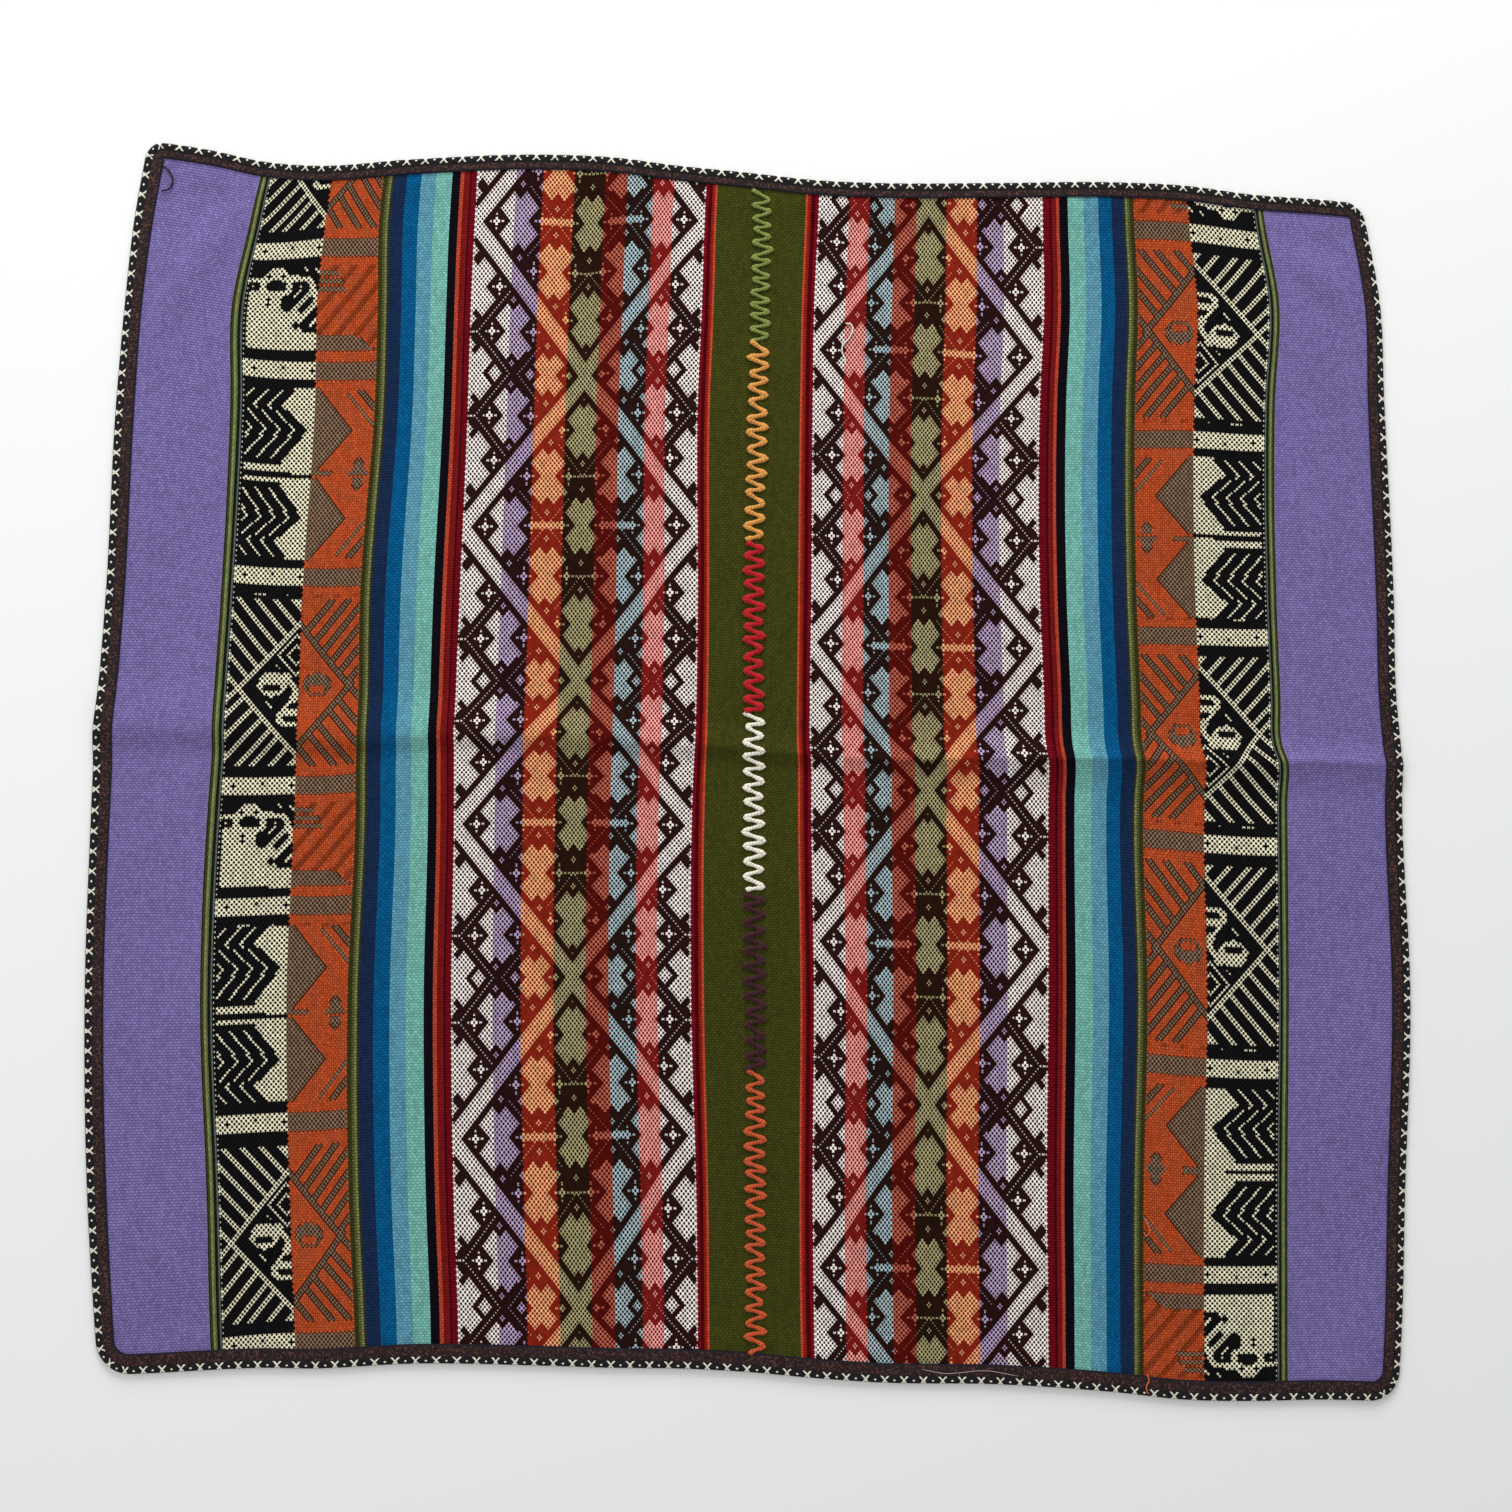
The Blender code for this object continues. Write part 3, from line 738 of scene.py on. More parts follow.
class Shade:  # a socket in a material's nodes; sums on it add Math nodes
    def __init__(self, tree, socket=None):
        self.tree = tree
        self.socket = socket

    def add(self, kind, settings=None, values=None, output=0):
        node = self.tree.nodes.new(kind)
        for name, value in (settings or {}).items():
            if name == "stops":
                setStops(node.color_ramp, value)
            else:
                setattr(node, name, value)
        for name, value in (values or {}).items():
            if isinstance(value, Shade):
                self.tree.links.new(value.socket, node.inputs[name])
            else:
                node.inputs[name].default_value = value
        return Shade(self.tree, node.outputs[output])

    def math(self, operation, *others):
        values = dict(enumerate((self,) + others))
        return self.add("ShaderNodeMath", {"operation": operation}, values)

    def after(self, operation, first):
        return self.add("ShaderNodeMath", {"operation": operation}, {0: first, 1: self})

    def __add__(self, other):
        return self.math("ADD", other)

    __radd__ = __add__

    def __sub__(self, other):
        return self.math("SUBTRACT", other)

    def __rsub__(self, other):
        return self.after("SUBTRACT", other)

    def __mul__(self, other):
        return self.math("MULTIPLY", other)

    __rmul__ = __mul__

    def __truediv__(self, other):
        return self.math("DIVIDE", other)

    def __rtruediv__(self, other):
        return self.after("DIVIDE", other)

    def __mod__(self, other):
        return self.math("FLOORED_MODULO", other)

    def __rpow__(self, other):
        return self.after("POWER", other)

    def __gt__(self, other):
        return self.math("GREATER_THAN", other)

    def __lt__(self, other):
        return self.math("LESS_THAN", other)

    def __abs__(self):
        return self.math("ABSOLUTE")

    def whole(self):
        return self.math("FLOOR")

    def fade(self, low, high):  # 0 at low and 1 at high, rounded at both
        values = {"Value": self, "From Min": low, "From Max": high}
        return self.add("ShaderNodeMapRange", {"interpolation_type": "SMOOTHSTEP"}, values)

    def pick(self, second, first):  # second where this is 1, first where it is 0
        return first + (second - first) * self

    def mix(self, first, second):  # colours, by this factor
        return self.add("ShaderNodeMix", {"data_type": "RGBA"}, {0: self, 6: first, 7: second}, 2)

    def ramp(self, stops):
        return self.add("ShaderNodeValToRGB", {"stops": stops}, {"Fac": self})

    def beside(self, other):  # a place with this across and the other along
        return self.add("ShaderNodeCombineXYZ", {}, {"X": self, "Y": other})

    def noise(self, scale, detail, **settings):
        values = {"Vector": self, "Scale": scale, "Detail": detail}
        return self.add("ShaderNodeTexNoise", settings, values, "Fac")

    def attribute(self, name, output="Vector"):
        return self.add("ShaderNodeAttribute", {"attribute_name": name}, {}, output)

    def parts(self, kind="ShaderNodeSeparateXYZ"):
        node = self.add(kind, {}, {0: self}).socket.node
        return [Shade(self.tree, socket) for socket in node.outputs]


def setStops(ramp, stops):
    ramp.interpolation = "CONSTANT"
    while len(ramp.elements) > 1:
        ramp.elements.remove(ramp.elements[-1])
    ramp.elements[0].position, ramp.elements[0].color = stops[0]
    for position, colour in stops[1:]:
        ramp.elements.new(position).color = colour


def blankMaterial(name):  # a material, and the start of its shader maths
    material = bpy.data.materials.new(name)
    material.use_nodes = True
    return material, Shade(material.node_tree)


def finished(material, colour, height, look):  # with its colour, relief and surface set
    relief = {"Height": height, "Strength": look["bump"], "Distance": look["relief"]}
    bump = colour.add("ShaderNodeBump", {}, relief)
    shader = material.node_tree.nodes["Principled BSDF"]
    for name, value in look["surface"].items():
        shader.inputs[name].default_value = value
    for name, result in (("Base Color", colour), ("Normal", bump)):
        material.node_tree.links.new(result.socket, shader.inputs[name])
    return material


def linear(red, green, blue):  # a screen colour as the renderer's own
    parts = []
    for value in (red, green, blue):
        value /= 255
        parts.append(value / 12.92 if value <= 0.04045 else ((value + 0.055) / 1.055) ** 2.4)
    return (*parts, 1.0)


rampSteps = 255  # a colour ramp is kept as 256 entries, so one entry is one column
rampRows = 32  # rows of the charts in one ramp
wordBits = 20  # cells of a row in one of a colour's three parts
bandSpan, fieldSpan = (6, 64), (111, 223)  # the thread columns of each, the last one not
fieldMiddle = 167


def columnStops(stripes):  # colours by thread column
    return [(max(column - 0.5, 0) / rampSteps, linear(*colour)) for column, colour in stripes]


def chartStops(first):  # rows of the chart as colours that each hold a row's 60 cells
    stops = []
    weights = 2 ** np.arange(wordBits - 1, -1, -1)
    for row in range(rampRows):
        line = sheet[first + row].reshape(-1, wordBits)
        words = (line @ weights + 0.5) / 2**wordBits
        stops.append((row / rampRows, (*words.tolist(), 1.0)))
    return stops


chartRows = {"B": (barStart, barRows), "A": (animalStart, animalRows),
             "D": (diamondStart, diamondRows)}
zigzagFull = 66  # rows, with the half that is charted and its mirror image
mapShift, mapSpan = 600, 1400  # keep the rows' shifts between 0 and 1 as a colour's red


def lineStops():  # the thin lines between the purple and the band, as parts of their width
    return [(place / bandSpan[0], linear(*colour)) for place, colour in weaveLook["lines"]]


def sectionStops(order, firstRow=0):  # where in the charts each of a band's sections lies
    stops = []
    row = firstRow

    def note(at, shift, sign):
        colour = ((shift + mapShift) / mapSpan, 1.0 if sign > 0 else 0.0, 0.0, 1.0)
        stops.append((max(at - 0.5, 0) / (2 * rampSteps), colour))

    for section in order:
        if section == "Z":
            note(row, zigzagStart - row, 1)
            note(row + zigzagRows, zigzagStart + zigzagFull + row, -1)
            row += zigzagFull
        else:
            first, rows = chartRows[section]
            note(row, first - row, 1)
            row += rows
    return stops


weaveLook = {
    "lines": (  # threads in from the purple: olive, grey and black yarns; the olive's lighter middles are partly painted highlight on the rounded ribs, and the dark olive beside them is partly painted shade in their valleys
        (0.0, (124, 110, 140)), (0.4, (30, 32, 20)), (0.95, (58, 64, 26)), (1.9, (122, 130, 82)),
        (2.8, (96, 104, 62)), (3.5, (22, 26, 14)), (4.8, (92, 98, 98)), (5.5, (16, 18, 24)),
    ),
    "light": (  # the yarn that is up, by thread column
        # the olive stripe from column 64 to 68: its light middle is partly painted highlight on the
        # rounded rib, and the darker olive beside it is partly painted shade
        (0, (234, 228, 196)), (36, (206, 88, 46)), (64, (58, 58, 26)), (66, (92, 96, 48)),
        (67, (128, 134, 84)), (68, (50, 54, 38)), (69, (26, 46, 80)), (76, (6, 90, 140)),
        (82, (98, 158, 178)), (89, (124, 188, 176)), (97, (16, 12, 20)), (102, (184, 72, 52)),
        (104, (124, 22, 18)), (106, (118, 26, 36)), (107, (78, 4, 14)), (108, (120, 12, 24)),
        (111, (248, 238, 232)), (130, (184, 162, 196)), (143, (236, 172, 120)),
        (158, (168, 160, 116)), (174, (180, 96, 76)), (184, (168, 190, 196)),
        (197, (240, 162, 154)), (208, (248, 238, 232)), (223, (124, 12, 28)), (225, (82, 2, 10)),
        (227, (135, 30, 25)), (228, (165, 42, 20)), (229, (206, 80, 56)), (230, (68, 70, 24)),
    ),
    "dark": (  # the yarn that is down there; in the plain stripes this is a darker copy of the stripe's own colour, which paints shade in the rib gaps and on the lower threads
        (0, (8, 8, 12)), (36, (76, 33, 16)), (64, (30, 26, 10)), (69, (12, 24, 44)),
        (76, (6, 60, 98)), (82, (56, 106, 130)), (89, (76, 130, 122)), (97, (6, 5, 10)),
        (102, (130, 36, 22)), (104, (90, 12, 8)), (107, (40, 0, 6)), (111, (36, 12, 10)),
        (143, (132, 32, 18)), (158, (36, 16, 8)), (174, (80, 12, 8)), (184, (34, 15, 9)),
        (197, (120, 22, 20)), (208, (36, 12, 10)), (223, (74, 4, 12)), (225, (46, 0, 4)),
        (227, (86, 16, 12)), (229, (140, 40, 26)), (230, (42, 42, 10)),
    ),
    # light purple, and a darker copy that paints shade in the rib gaps and on the lower threads
    "purple": ((131, 117, 176), (72, 60, 108)),
    "taupe": ((128, 104, 84), (50, 30, 18)),
    "dot": (0.49, 0.51),  # half width and half height of the spots between the floats
    "dotEdge": (1.25, 0.8),  # where a spot ends and where it is full, in parts of its size
    "shutDot": 0.66,  # how much larger they are where the chart has the dark yarn up; partly the dark floats spreading over the light ones' edges, and partly painted shade there
    "fleckEdge": (1.0, 0.3),
    "flecks": 0.008,
    "floatShape": (1.6, 0.7),  # how fast a float falls away across and along
    "floatEdge": (0.2, 0.8),
    "floatsOver": 0.8,  # how much of the spots the long orange floats cover
    # painted shade on every other half thread of the plain weave, and in the gaps between its ribs
    "plainDotShade": 0.15,
    "ribGapShade": 0.7,
    "gapEdge": (0.22, 0.5),
    "threadNoise": (1.37, 0.11),  # steps of the noise by column and by row
    "fibreNoise": (4.0, 1.3),
    "broadScale": 9.0,
    "tone": (0.5, 0.3, 0.3, 0.22, 0.2),  # level, then by thread, cell, broad patch and fibre
    "floatRoundShade": (1.04, 0.3),  # painted shade on a rounded float: its tone at the middle, and how much darker it is at its edge
    "orangeFloatShade": 0.45,  # how dark the painted shade is at the orange floats' ends, in the gaps between them and along their twill lines
    "streaks": (0.52, 3, 0.5),  # the fibre noise's level, its gain and the streaks' depth
    "twillPitch": 9.0,
    "height": (0.8, 0.25, 0.25),  # of the spots, the floats and the fibre in the relief
    "bump": 0.35, "relief": 0.0006,
    "surface": {"Roughness": 0.95, "Specular IOR Level": 0.04},
}


def within(column, span):
    return (column > span[0] - 0.5) * (column < span[1] - 0.5)


def nearest(thread, pick, odd):  # the nearest cell whose column and row add up to odd, or even
    total = ((thread + pick - 1 - odd) / 2).math("ROUND") * 2 + odd
    apart = ((thread - pick - odd) / 2).math("ROUND") * 2 + odd
    return (total + apart) / 2, (total - apart) / 2


def charted(column, row, order):  # where the charts rule, the band, their cell and twill mark
    inBand = within(column, bandSpan)
    patterned = (inBand + within(column, fieldSpan)).math("MINIMUM", 1.0)
    section = ((row + 0.5) / (2 * rampSteps)).ramp(sectionStops(order))
    shift, sign, _ = section.parts("ShaderNodeSeparateColor")
    bandRow = (shift * mapSpan - mapShift + 0.5).whole() + (sign * 2 - 1) * row
    sheetRow = inBand.pick(bandRow, row.math("PINGPONG", float(halfRepeat)))
    sheetColumn = inBand.pick(column - bandSpan[0], abs(column - fieldMiddle))
    words = None
    for first in range(0, sheetRows, rampRows):
        ramp = ((sheetRow - first + 0.5) / rampRows).ramp(chartStops(first))
        words = (sheetRow > first - 0.5).mix(words, ramp) if words else ramp
    low, middle, high = words.parts("ShaderNodeSeparateColor")
    one, two = wordBits - 0.5, 2 * wordBits - 0.5
    inMiddle = (sheetColumn > one) * (sheetColumn < two)
    word = low * (sheetColumn < one) + middle * inMiddle + high * (sheetColumn > two)
    cell = (word * 2 ** (sheetColumn % wordBits + 1)).whole() % 2
    twill = (high * 2.0 ** (twillColumn - 2 * wordBits + 1)).whole() % 2
    return patterned, inBand, cell, twill


def weaveMaterial(name, order):
    material, start = blankMaterial(name)
    look = weaveLook
    thread, fieldPick, bandPick = start.attribute("weave").parts()
    nearBand = (thread > bandSpan[0] - 1.1) * (thread < bandSpan[1] + 1.1)
    pick = nearBand.pick(bandPick, fieldPick)
    cellColumn, cellRow = thread.whole(), pick.whole()
    aside, up = thread - cellColumn - 0.5, pick - cellRow - 0.5

    # the light and dark floats stand in every other cell, and each spreads halfway over
    # the cells beside it, so the nearest float's cell is the one to look up in the charts
    column, row = nearest(thread, pick, nearBand)
    patterned, inBand, cell, twill = charted(column, row, order)
    spotColumn, spotRow = nearest(thread, pick, 1 - nearBand)
    spotted, _, openSpot, _ = charted(spotColumn, spotRow, order)
    light = 1 - patterned * (1 - cell)

    # the two yarns' colours
    across = (patterned.pick(column, cellColumn) + 0.5) / rampSteps
    # the thin lines' colours, with painted highlight and painted shade on their olive ribs
    thinLines = (thread / bandSpan[0]).ramp(lineStops())
    inLines = (thread < bandSpan[0]) * (1 - inBand)
    inPurple = thread < 0
    orange = (column > bandSpan[0] + creamColumns - 0.5) * inBand
    inTaupe = orange * cell
    shades = []
    for index, yarn in enumerate(("light", "dark")):
        shade = inLines.mix(across.ramp(columnStops(look[yarn])), thinLines)
        shade = inPurple.mix(shade, linear(*look["purple"][index]))
        shades.append(inTaupe.mix(shade, linear(*look["taupe"][index])))

    # between the floats the other yarn shows as a spot
    halfWidth, halfHeight = look["dot"]
    # the spots grow where the dark yarn is up: partly the dark floats covering the light floats'
    # edges, and partly painted shade
    grown = 1 + (1 - openSpot) * look["shutDot"]
    fromSpot = (thread - 0.5 - spotColumn) / grown / halfWidth
    overSpot = (pick - 0.5 - spotRow) / grown / halfHeight
    spread = (fromSpot * fromSpot + overSpot * overSpot).math("SQRT")
    sunk = spread.fade(*look["dotEdge"]) * spotted
    flecked = spread.fade(*look["fleckEdge"])
    fromFloat, overFloat = thread - 0.5 - column, pick - 0.5 - row
    steepAcross, steepAlong = look["floatShape"]
    fallen = fromFloat * fromFloat * steepAcross + overFloat * overFloat * steepAlong
    fallen = fallen.math("SQRT").fade(*look["floatEdge"])
    floats = orange * (1 - cell)
    depth = sunk * patterned * (1 - floats * look["floatsOver"])
    shown = light * (1 - depth) + (1 - light) * flecked * look["flecks"]
    shown = floats.pick(1 - depth, shown)

    # the plain weave's finer threads and its ribs across the warp, drawn as painted shade from the
    # darker copy of the stripe's colour
    fine = ((thread * 2).whole() + cellRow) % 2
    gap = abs(up).fade(*look["gapEdge"])
    # painted shade from the darker copy: on the lower threads and in the gaps between the ribs
    plainShown = 1 - look["plainDotShade"] * fine - gap * look["ribGapShade"]
    shown = (1 - patterned).pick(plainShown, shown)
    colour = shown.mix(shades[1], shades[0])

    # streaks along the threads, fading and the yarn's own unevenness
    flat = {"noise_dimensions": "2D"}
    byColumn, byRow = look["threadNoise"]
    perThread = (column * byColumn).beside(row * byRow).noise(1.0, 2.0, **flat)
    values = {"Vector": column.beside(row)}
    perCell = start.add("ShaderNodeTexWhiteNoise", flat, values, "Value")
    place = start.add("ShaderNodeTexCoord", {}, {}, "Object")
    broad = place.noise(look["broadScale"], 3.0)
    byThread, byPick = look["fibreNoise"]
    fibre = (thread * byThread).beside(pick * byPick).noise(1.0, 2.0, **flat)
    # painted shadow at each orange float's ends, and painted shade in the gaps beside it
    endShadow = abs(up + 0.35).fade(0.2, 0.05) * floats
    line = abs(aside * 2).fade(0.6, 1.0) * floats
    level, streakGain, streakDepth = look["streaks"]
    streak = (fibre - level) * floats * streakGain
    diagonal = ((thread + pick) / look["twillPitch"]).math("FRACT").fade(0.5, 0.75)
    tone = look["tone"][0]
    for weight, noise in zip(look["tone"][1:], (perThread, perCell, broad, fibre)):
        tone = tone + noise * weight
    # painted shade: each float is darker towards its edge
    lit, shaded = look["floatRoundShade"]
    tone = tone * (lit - shaded * fallen) * (1 + streakDepth * streak)
    # painted shade at the floats' ends, in their gaps and along the twill lines
    for part in (endShadow, line, diagonal * twill * inBand * floats):
        tone = tone * (1 - look["orangeFloatShade"] * part)
    grey = start.add("ShaderNodeCombineColor", {}, {"Red": tone, "Green": tone, "Blue": tone})
    settings = {"data_type": "RGBA", "blend_type": "MULTIPLY"}
    colour = start.add("ShaderNodeMix", settings, {0: 1.0, 6: colour, 7: grey}, 2)
    spots, rounds, fibres = look["height"]
    height = (1 - spots * sunk) * (1 - rounds * fallen) + fibre * fibres
    return finished(material, colour, height, look)


leftOrder = "DBABZBDBABZBDB"
rightOrder = "BABZBDBDBZBDBA"
leftPanel.data.materials.append(weaveMaterial("striped wool, left", leftOrder))
rightPanel.data.materials.append(weaveMaterial("striped wool, right", rightOrder))
print("weave dressed")


edgingLook = {
    "rim": 5.8,  # the flecked rim's width, in millimetres
    "repeat": 14.0,  # from one white figure of the rim to the next
    "wobble": (0.45, 0.04, 1.1),  # scale, and how much it moves the figures and their arms
    "slope": (0.95, 0.35),  # of the arms, and how much less outside the figure's middle
    "armEdge": (0.95, 0.45),
    "armReach": (-2.4, 2.7),
    "barPitch": 1.6,
    "dotEdge": (1.0, 0.6),
    "ribPitch": 1.15,
    "colours": {
        "black": (17, 16, 18), "softBlack": (34, 32, 34), "white": (226, 222, 206),
        "band": (62, 42, 40), "bandDarkAndGrooveShade": (26, 19, 21), "bandFleck": (96, 60, 54),
        # inner: a dark line along the band's inner edge, partly dark stitching and partly painted
        # shadow of the binding
        "inner": (24, 22, 34),
    },
    "bump": 0.5, "relief": 0.0006,
    "surface": {"Roughness": 0.88, "Specular IOR Level": 0.2},
}


def edgingMaterial():
    material, start = blankMaterial("woven edging wool")
    look = edgingLook
    colours = {name: linear(*value) for name, value in look["colours"].items()}
    lengthwise, inset, middle = start.attribute("braid").parts()
    width = start.attribute("ply_width", "Fac")

    # the rim's white figures: four arms, bars outside them and a dot between two figures
    scale, shift, bend = look["wobble"]
    wobble = lengthwise.beside(inset).noise(scale, 2.0, noise_dimensions="2D")
    repeat = lengthwise / look["repeat"] + wobble * shift
    along = (repeat.math("FRACT") - 0.5) * look["repeat"]
    away = inset - middle
    slope, less = look["slope"]
    arms = abs(abs(along) - abs(away) * (slope - (away < 0) * less)) + (wobble - 0.5) * bend
    low, high = look["armReach"]
    figure = arms.fade(*look["armEdge"]) * (away < high) * (away > low)
    bars = (inset / look["barPitch"]).math("FRACT").fade(0.35, 0.6) * abs(along).fade(1.9, 1.4)
    bars = bars * away.fade(-0.6, -1.2)
    fromTurn, off = abs(along) - look["repeat"] / 2, away + 0.2
    dots = (fromTurn * fromTurn + off * off * 1.4).math("SQRT").fade(*look["dotEdge"])
    white = figure.math("MAXIMUM", bars).math("MAXIMUM", dots)
    white = white * inset.fade(look["rim"] + 0.2, look["rim"] - 0.5)
    onRim = inset.fade(look["rim"] + 0.5, look["rim"] - 0.1)

    # the band: a fine rib across it, in browns, with dark specks and painted shade in the grooves
    # between the ribs
    ribPlace = lengthwise / look["ribPitch"]
    rib = abs(ribPlace.math("FRACT") - 0.5)
    ribKey = ribPlace.whole().beside((inset + ribPlace.whole() * 0.5).whole())
    flat = {"noise_dimensions": "2D"}
    speck = start.add("ShaderNodeTexWhiteNoise", flat, {"Vector": ribKey}, "Value")
    band = speck.mix(colours["bandDarkAndGrooveShade"], colours["band"])
    band = speck.fade(0.8, 0.86).mix(band, colours["bandFleck"])
    # painted shade in the grooves between the ribs
    band = rib.fade(0.28, 0.5).mix(band, colours["bandDarkAndGrooveShade"])
    # a dark line at the band's inner edge: partly dark stitching, partly painted shadow of the
    # binding
    band = (width - inset).fade(1.5, 0.9).mix(band, colours["inner"])
    rim = (speck * 0.6).mix(colours["black"], colours["softBlack"])
    rim = white.mix(rim, colours["white"])
    height = rib.fade(0.5, 0.1) * 0.6 + white * 0.5 + speck * 0.3
    return finished(material, onRim.mix(band, rim), height, look)


clothEdging.data.materials.append(edgingMaterial())
print("edging dressed")


seamYarns = (  # name, colour, darker copy for painted shade between the plies and random fibre tone, stitches, from and to along the seam, thickness
    ("green", (126, 140, 66), (66, 80, 30), 12, 420.0, 312.0, 3.0),
    ("gold", (218, 152, 74), (132, 72, 26), 13, 312.0, 168.0, 3.7),
    ("red", (184, 22, 30), (88, 8, 16), 12, 168.0, 43.0, 4.3),
    ("white", (238, 232, 216), (150, 140, 124), 12, 43.0, -86.0, 3.5),
    ("brown", (60, 22, 27), (24, 8, 12), 12, -86.0, -216.0, 4.2),
    ("rust", (198, 84, 42), (100, 34, 18), 19, -216.0, -420.0, 3.6),
)
stitching = {
    "reach": 6.2,  # how far a stitch goes to either side of the seam
    "reachVaries": 0.1,
    "placeVaries": 0.9,
    "widthVaries": 0.06,
    "steps": 14,  # points of the path in a stitch
    "sides": 8,
    "flat": 0.62,  # the yarn's height for its width, where it lies on the cloth
    "swing": 0.86,  # 1 would turn at sharp points
    "tuckReach": 1.7,  # beside the seam the yarn dips in and is drawn thin
    "tuckDepth": 0.55,
    "tuckThin": 0.38,
    "beat": 0.15,
    "sunk": 0.1,
}


def tube(path, widths, heights, sides):  # a closed tube: points of its path, its width and height
    ahead = np.gradient(path, axis=0)
    ahead /= np.linalg.norm(ahead, axis=1)[:, None]
    sideways = np.cross(ahead, (0.0, 0.0, 1.0))
    sideways /= np.maximum(np.linalg.norm(sideways, axis=1), 1e-9)[:, None]
    upward = np.cross(sideways, ahead)
    turns = 2 * np.pi * np.arange(sides) / sides
    ring = (np.cos(turns)[None, :, None] * sideways[:, None] * widths[:, None, None] / 2
            + np.sin(turns)[None, :, None] * upward[:, None] * heights[:, None, None] / 2)
    points = (path[:, None] + ring).reshape(-1, 3)
    return points, tubeFaces(len(path), sides)


def seamYarn(name, count, start, finish, thickness, seed):
    rng = np.random.default_rng(seed)
    phase = np.arange(count * stitching["steps"] + 1) / stitching["steps"]
    nodes = np.arange(2 * count + 2)
    varied = 1 + stitching["reachVaries"] * rng.standard_normal(len(nodes))
    wander = stitching["placeVaries"] * rng.standard_normal(len(nodes))
    half = np.clip(phase * 2, 0, 2 * count)
    swing = np.arcsin(-stitching["swing"] * np.cos(2 * np.pi * phase))
    swing /= np.arcsin(stitching["swing"])
    sideways = swing * np.interp(half, nodes, stitching["reach"] * varied)
    along = start + (finish - start) * phase / count + np.interp(half, nodes, wander)
    across = cloth["seam"] + sideways
    tuck = np.exp(-((sideways / stitching["tuckReach"]) ** 2))
    height = thickness * stitching["flat"] / 2 * (1 - stitching["tuckDepth"] * tuck)
    height += stitching["beat"] * np.cos(4 * np.pi * phase) - stitching["sunk"]
    path = onCloth(across, along, height + unevenness(across, along)) * 1000
    varied = 1 + stitching["widthVaries"] * rng.standard_normal(len(phase))
    widths = thickness * (1 - stitching["tuckThin"] * tuck) * varied
    return yarnPiece(name, path, widths, widths * stitching["flat"])


def yarnPiece(name, path, widths, heights):
    points, faces = tube(path, widths, heights, stitching["sides"])
    yarn = meshObject(name, points * 0.001, faces)
    run = np.concatenate([[0], np.cumsum(np.linalg.norm(np.diff(path, axis=0), axis=1))])
    side = np.arange(stitching["sides"]) / stitching["sides"]
    marks = np.stack(np.broadcast_arrays(run[:, None], side[None], 0.0), axis=-1)
    pointAttribute(yarn, "twist", marks.reshape(-1, 3))
    return yarn


yarnLook = {
    "plyLength": 2.6,  # millimetres from one ply to the next along the yarn
    "fuzzScale": 1400.0,
    "bump": 0.6, "relief": 0.0005,
    "surface": {"Roughness": 0.85, "Specular IOR Level": 0.2, "Sheen Weight": 0.1},
}


def yarnMaterial(name, light, dark):
    material, start = blankMaterial(name + " yarn")
    run, side, _ = start.attribute("twist").parts()
    turn = abs(side - 0.5) * 2
    ply = abs(((run / yarnLook["plyLength"] + turn * 0.5).math("FRACT") - 0.5) * 2)
    fuzz = start.add("ShaderNodeTexCoord", {}, {}, "Object").noise(yarnLook["fuzzScale"], 3.0)
    # painted shade in the grooves between the plies, and fuzz that darkens the yarn at random
    tone = (0.5 + 0.5 * ply.fade(0.0, 0.4)) * (0.5 + fuzz * 0.9)
    colour = tone.math("MINIMUM", 1.0).mix(linear(*dark), linear(*light))
    return finished(material, colour, ply.fade(0, 0.6) + fuzz * 0.5, yarnLook)


looseThreads = (  # name, colour, darker copy for painted shade between the plies and random fibre tone, thickness, places in laid millimetres and lifts
    ("corner_loop", (20, 18, 20), (8, 8, 10), 1.3,
     ((-424, 440, 0.9), (-418, 435, 1.4), (-414.5, 428, 1.4), (-417, 422, 1.1), (-423, 420, 0.9))),
    ("orange_loop", (216, 104, 60), (130, 48, 24), 1.1,
     ((287, -322, 0.3), (289.5, -326, 1.6), (291, -331, 1.8), (289, -335, 1.2), (287, -332, 0.3))),
    ("orange_tail", (216, 104, 60), (130, 48, 24), 1.0,
     ((289, -434, 0.4), (290.5, -439, 1.3), (288.5, -444, 1.5), (290, -449, 1.4))),
    ("white_lint", (236, 232, 226), (200, 194, 186), 1.0,
     ((71.4, 325, 0.2), (75.5, 324, 0.5), (76.4, 319.5, 0.5), (73.5, 313.5, 0.4),
      (69.5, 309.5, 0.6), (69, 304, 0.5), (71, 299, 0.4), (71.4, 295, 0.2))),
    ("hair_left", (30, 20, 18), (18, 12, 12), 0.35,
     ((-101, -245, 0.2), (-99, -250, 0.5), (-99.5, -255, 0.5), (-98, -260, 0.2))),
    ("hair_seam", (30, 20, 18), (18, 12, 12), 0.35,
     ((11, -196, 0.2), (13, -200, 0.5), (12.5, -205, 0.5), (14, -208, 0.2))),
    ("hair_bottom", (206, 200, 190), (150, 140, 130), 0.3,
     ((126, -431, 1.2), (145, -434, 1.6), (172, -432, 1.6), (196, -436, 1.3))),
)


def wovenPlace(x, y):  # where in the weave a laid place lies
    across, along = float(x), float(y)
    for _ in range(12):
        reachedX, reachedY = laid(np.array([across]), np.array([along]))
        across += x - float(reachedX[0])
        along += y - float(reachedY[0])
    return across, along


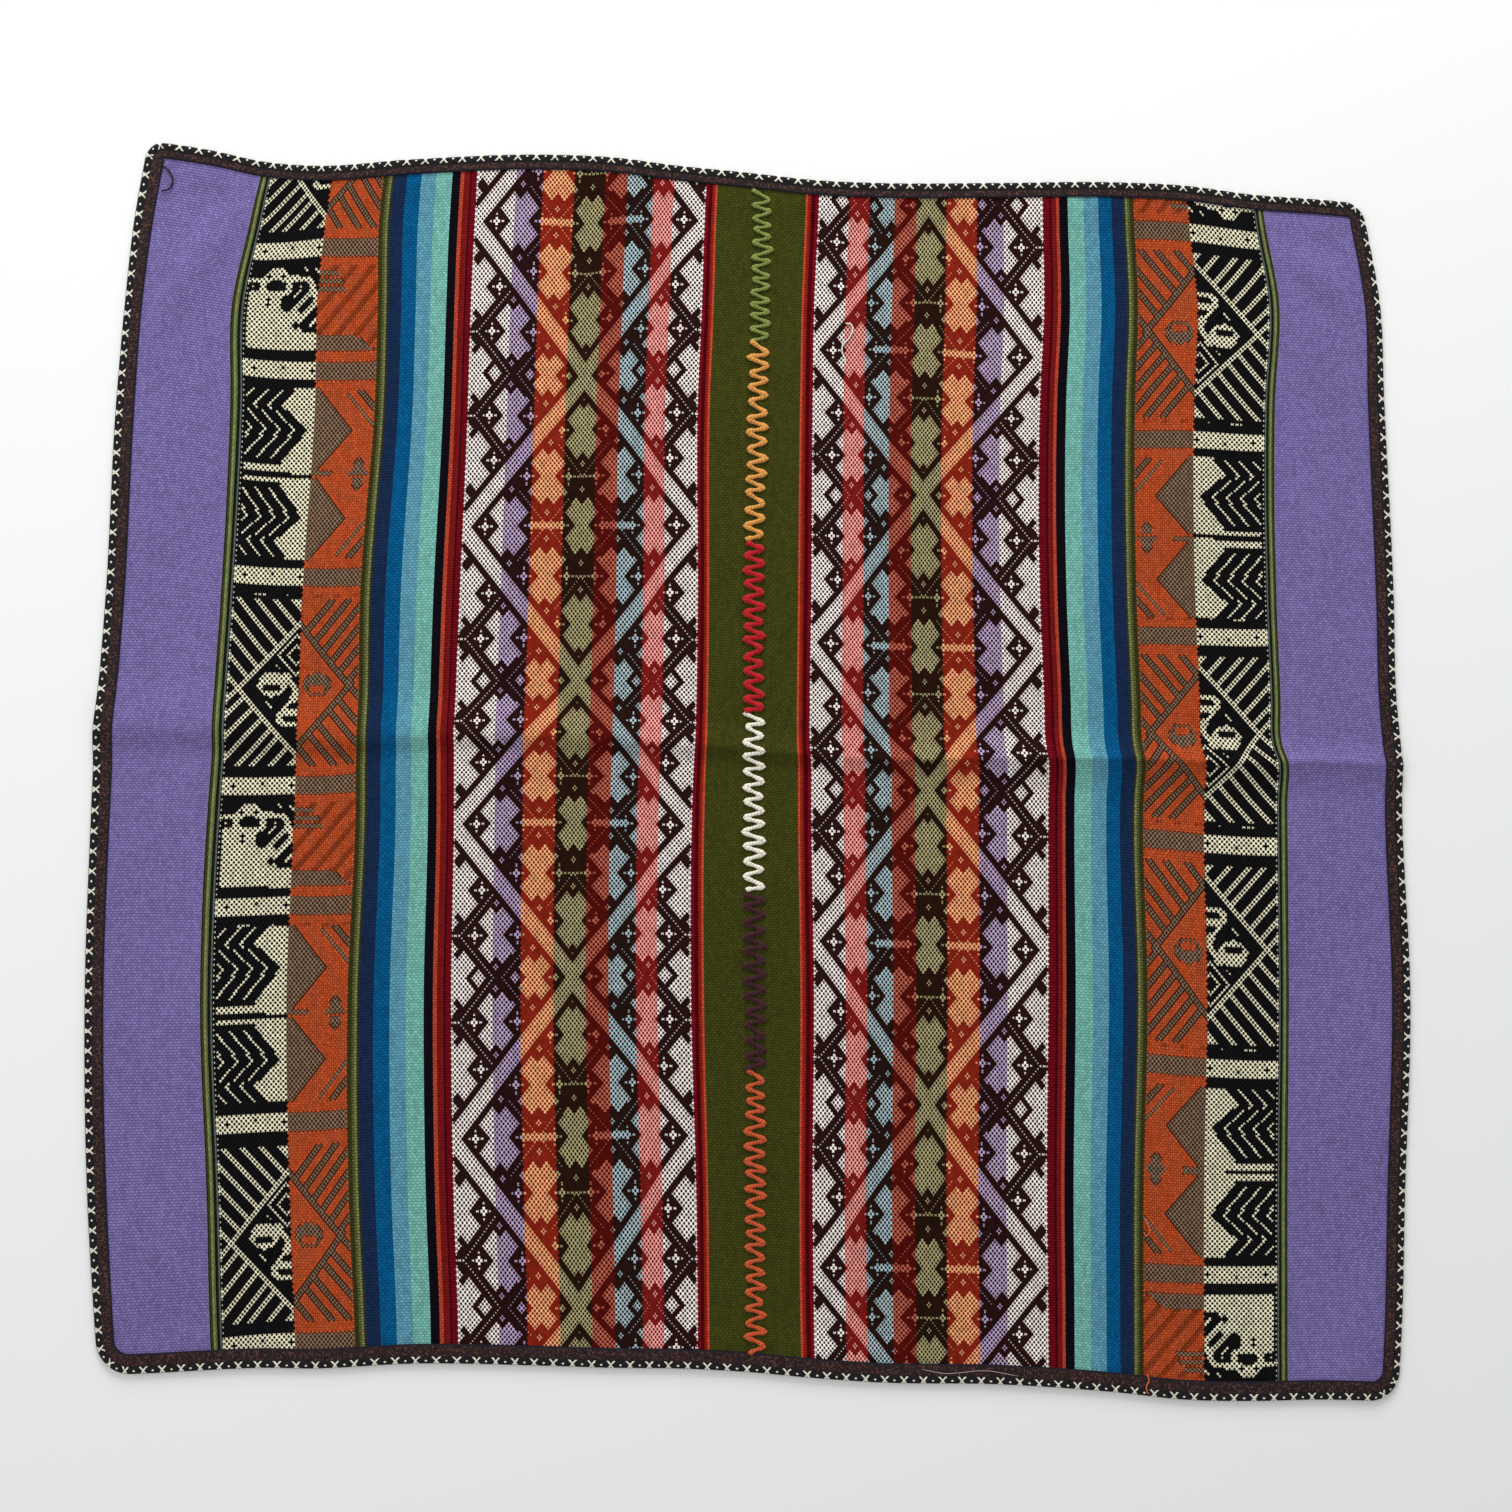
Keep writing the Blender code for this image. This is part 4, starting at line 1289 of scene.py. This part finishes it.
def looseThread(name, thickness, places):
    knots = np.array([wovenPlace(x, y) + (lift,) for x, y, lift in places])
    steps = np.linspace(0, len(knots) - 1, 8 * len(knots))
    stations = np.arange(len(knots), dtype=float)
    fine = np.stack([smooth(stations, knots[:, axis], steps) for axis in range(3)], axis=-1)
    above = fine[:, 2] + thickness * 0.4 + unevenness(fine[:, 0], fine[:, 1])
    path = onCloth(fine[:, 0], fine[:, 1], above) * 1000
    fromEnd = np.minimum(np.arange(len(path)), np.arange(len(path))[::-1])
    widths = thickness * (0.6 + 0.4 * np.minimum(fromEnd / 3, 1))
    return yarnPiece(name, path, widths, widths * 0.9)


yarns = []
for seed, (name, light, dark, count, start, finish, thickness) in enumerate(seamYarns):
    yarn = seamYarn("seam_yarn_" + name, count, start, finish, thickness, seed + 3)
    yarn.data.materials.append(yarnMaterial(name, light, dark))
    yarns.append(yarn)
for name, light, dark, thickness, places in looseThreads:
    yarn = looseThread("loose_" + name, thickness, places)
    yarn.data.materials.append(yarnMaterial(name, light, dark))
    yarns.append(yarn)
print("seam sewn:", sum(row[3] for row in seamYarns), "stitches")


for piece, node, slot in (
    (leftPanel, "panel_left", "panel_wool"),
    (rightPanel, "panel_right", "panel_wool"),
    (clothEdging, "edging", "edging_wool"),
):
    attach(piece, "root")
    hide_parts(node)
for yarn in yarns:
    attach(yarn, "root")

floor = {"size": 12.0, "colour": (0.86, 0.86, 0.86, 1), "roughness": 0.9}
bpy.ops.object.select_all(action="DESELECT")
bpy.ops.mesh.primitive_plane_add(size=floor["size"], location=(0, 0, 0))
ground = bpy.context.active_object
ground.name = ground.data.name = "ground"
paper = bpy.data.materials.new("pale floor")
paper.use_nodes = True
paperInputs = paper.node_tree.nodes["Principled BSDF"].inputs
paperInputs["Base Color"].default_value = floor["colour"]
paperInputs["Roughness"].default_value = floor["roughness"]
ground.data.materials.append(paper)

studio = {
    "camera": (0.0062, 0.0116, 1.521),
    "lens": 50.0,
    "sensor": 36.0,
    "sky": (1.0, 1.0, 1.0, 1.0),
    "skyStrength": 0.55,
    "lights": (  # place, size, watts
        ((0.0, 2.8, 1.3), 1.5, 84.0),
        ((-1.6, 0.4, 1.8), 1.4, 10.0),
    ),
}
world = bpy.data.worlds.new("studio")
bpy.context.scene.world = world
world.use_nodes = True
skyInputs = world.node_tree.nodes["Background"].inputs
skyInputs["Color"].default_value = studio["sky"]
skyInputs["Strength"].default_value = studio["skyStrength"]
for place, size, watts in studio["lights"]:
    lamp = bpy.data.lights.new("soft light", "AREA")
    lamp.size = size
    lamp.energy = watts
    holder = bpy.data.objects.new("soft light", lamp)
    holder.location = place
    aim = -holder.location.normalized()
    holder.rotation_euler = aim.to_track_quat("-Z", "Y").to_euler()
    bpy.context.scene.collection.objects.link(holder)
eye = bpy.data.cameras.new("overhead camera")
eye.lens = studio["lens"]
eye.sensor_width = studio["sensor"]
camera = bpy.data.objects.new("overhead camera", eye)
camera.location = studio["camera"]
bpy.context.scene.collection.objects.link(camera)
bpy.context.scene.camera = camera
bpy.context.scene.view_settings.view_transform = "Standard"
print("studio set")
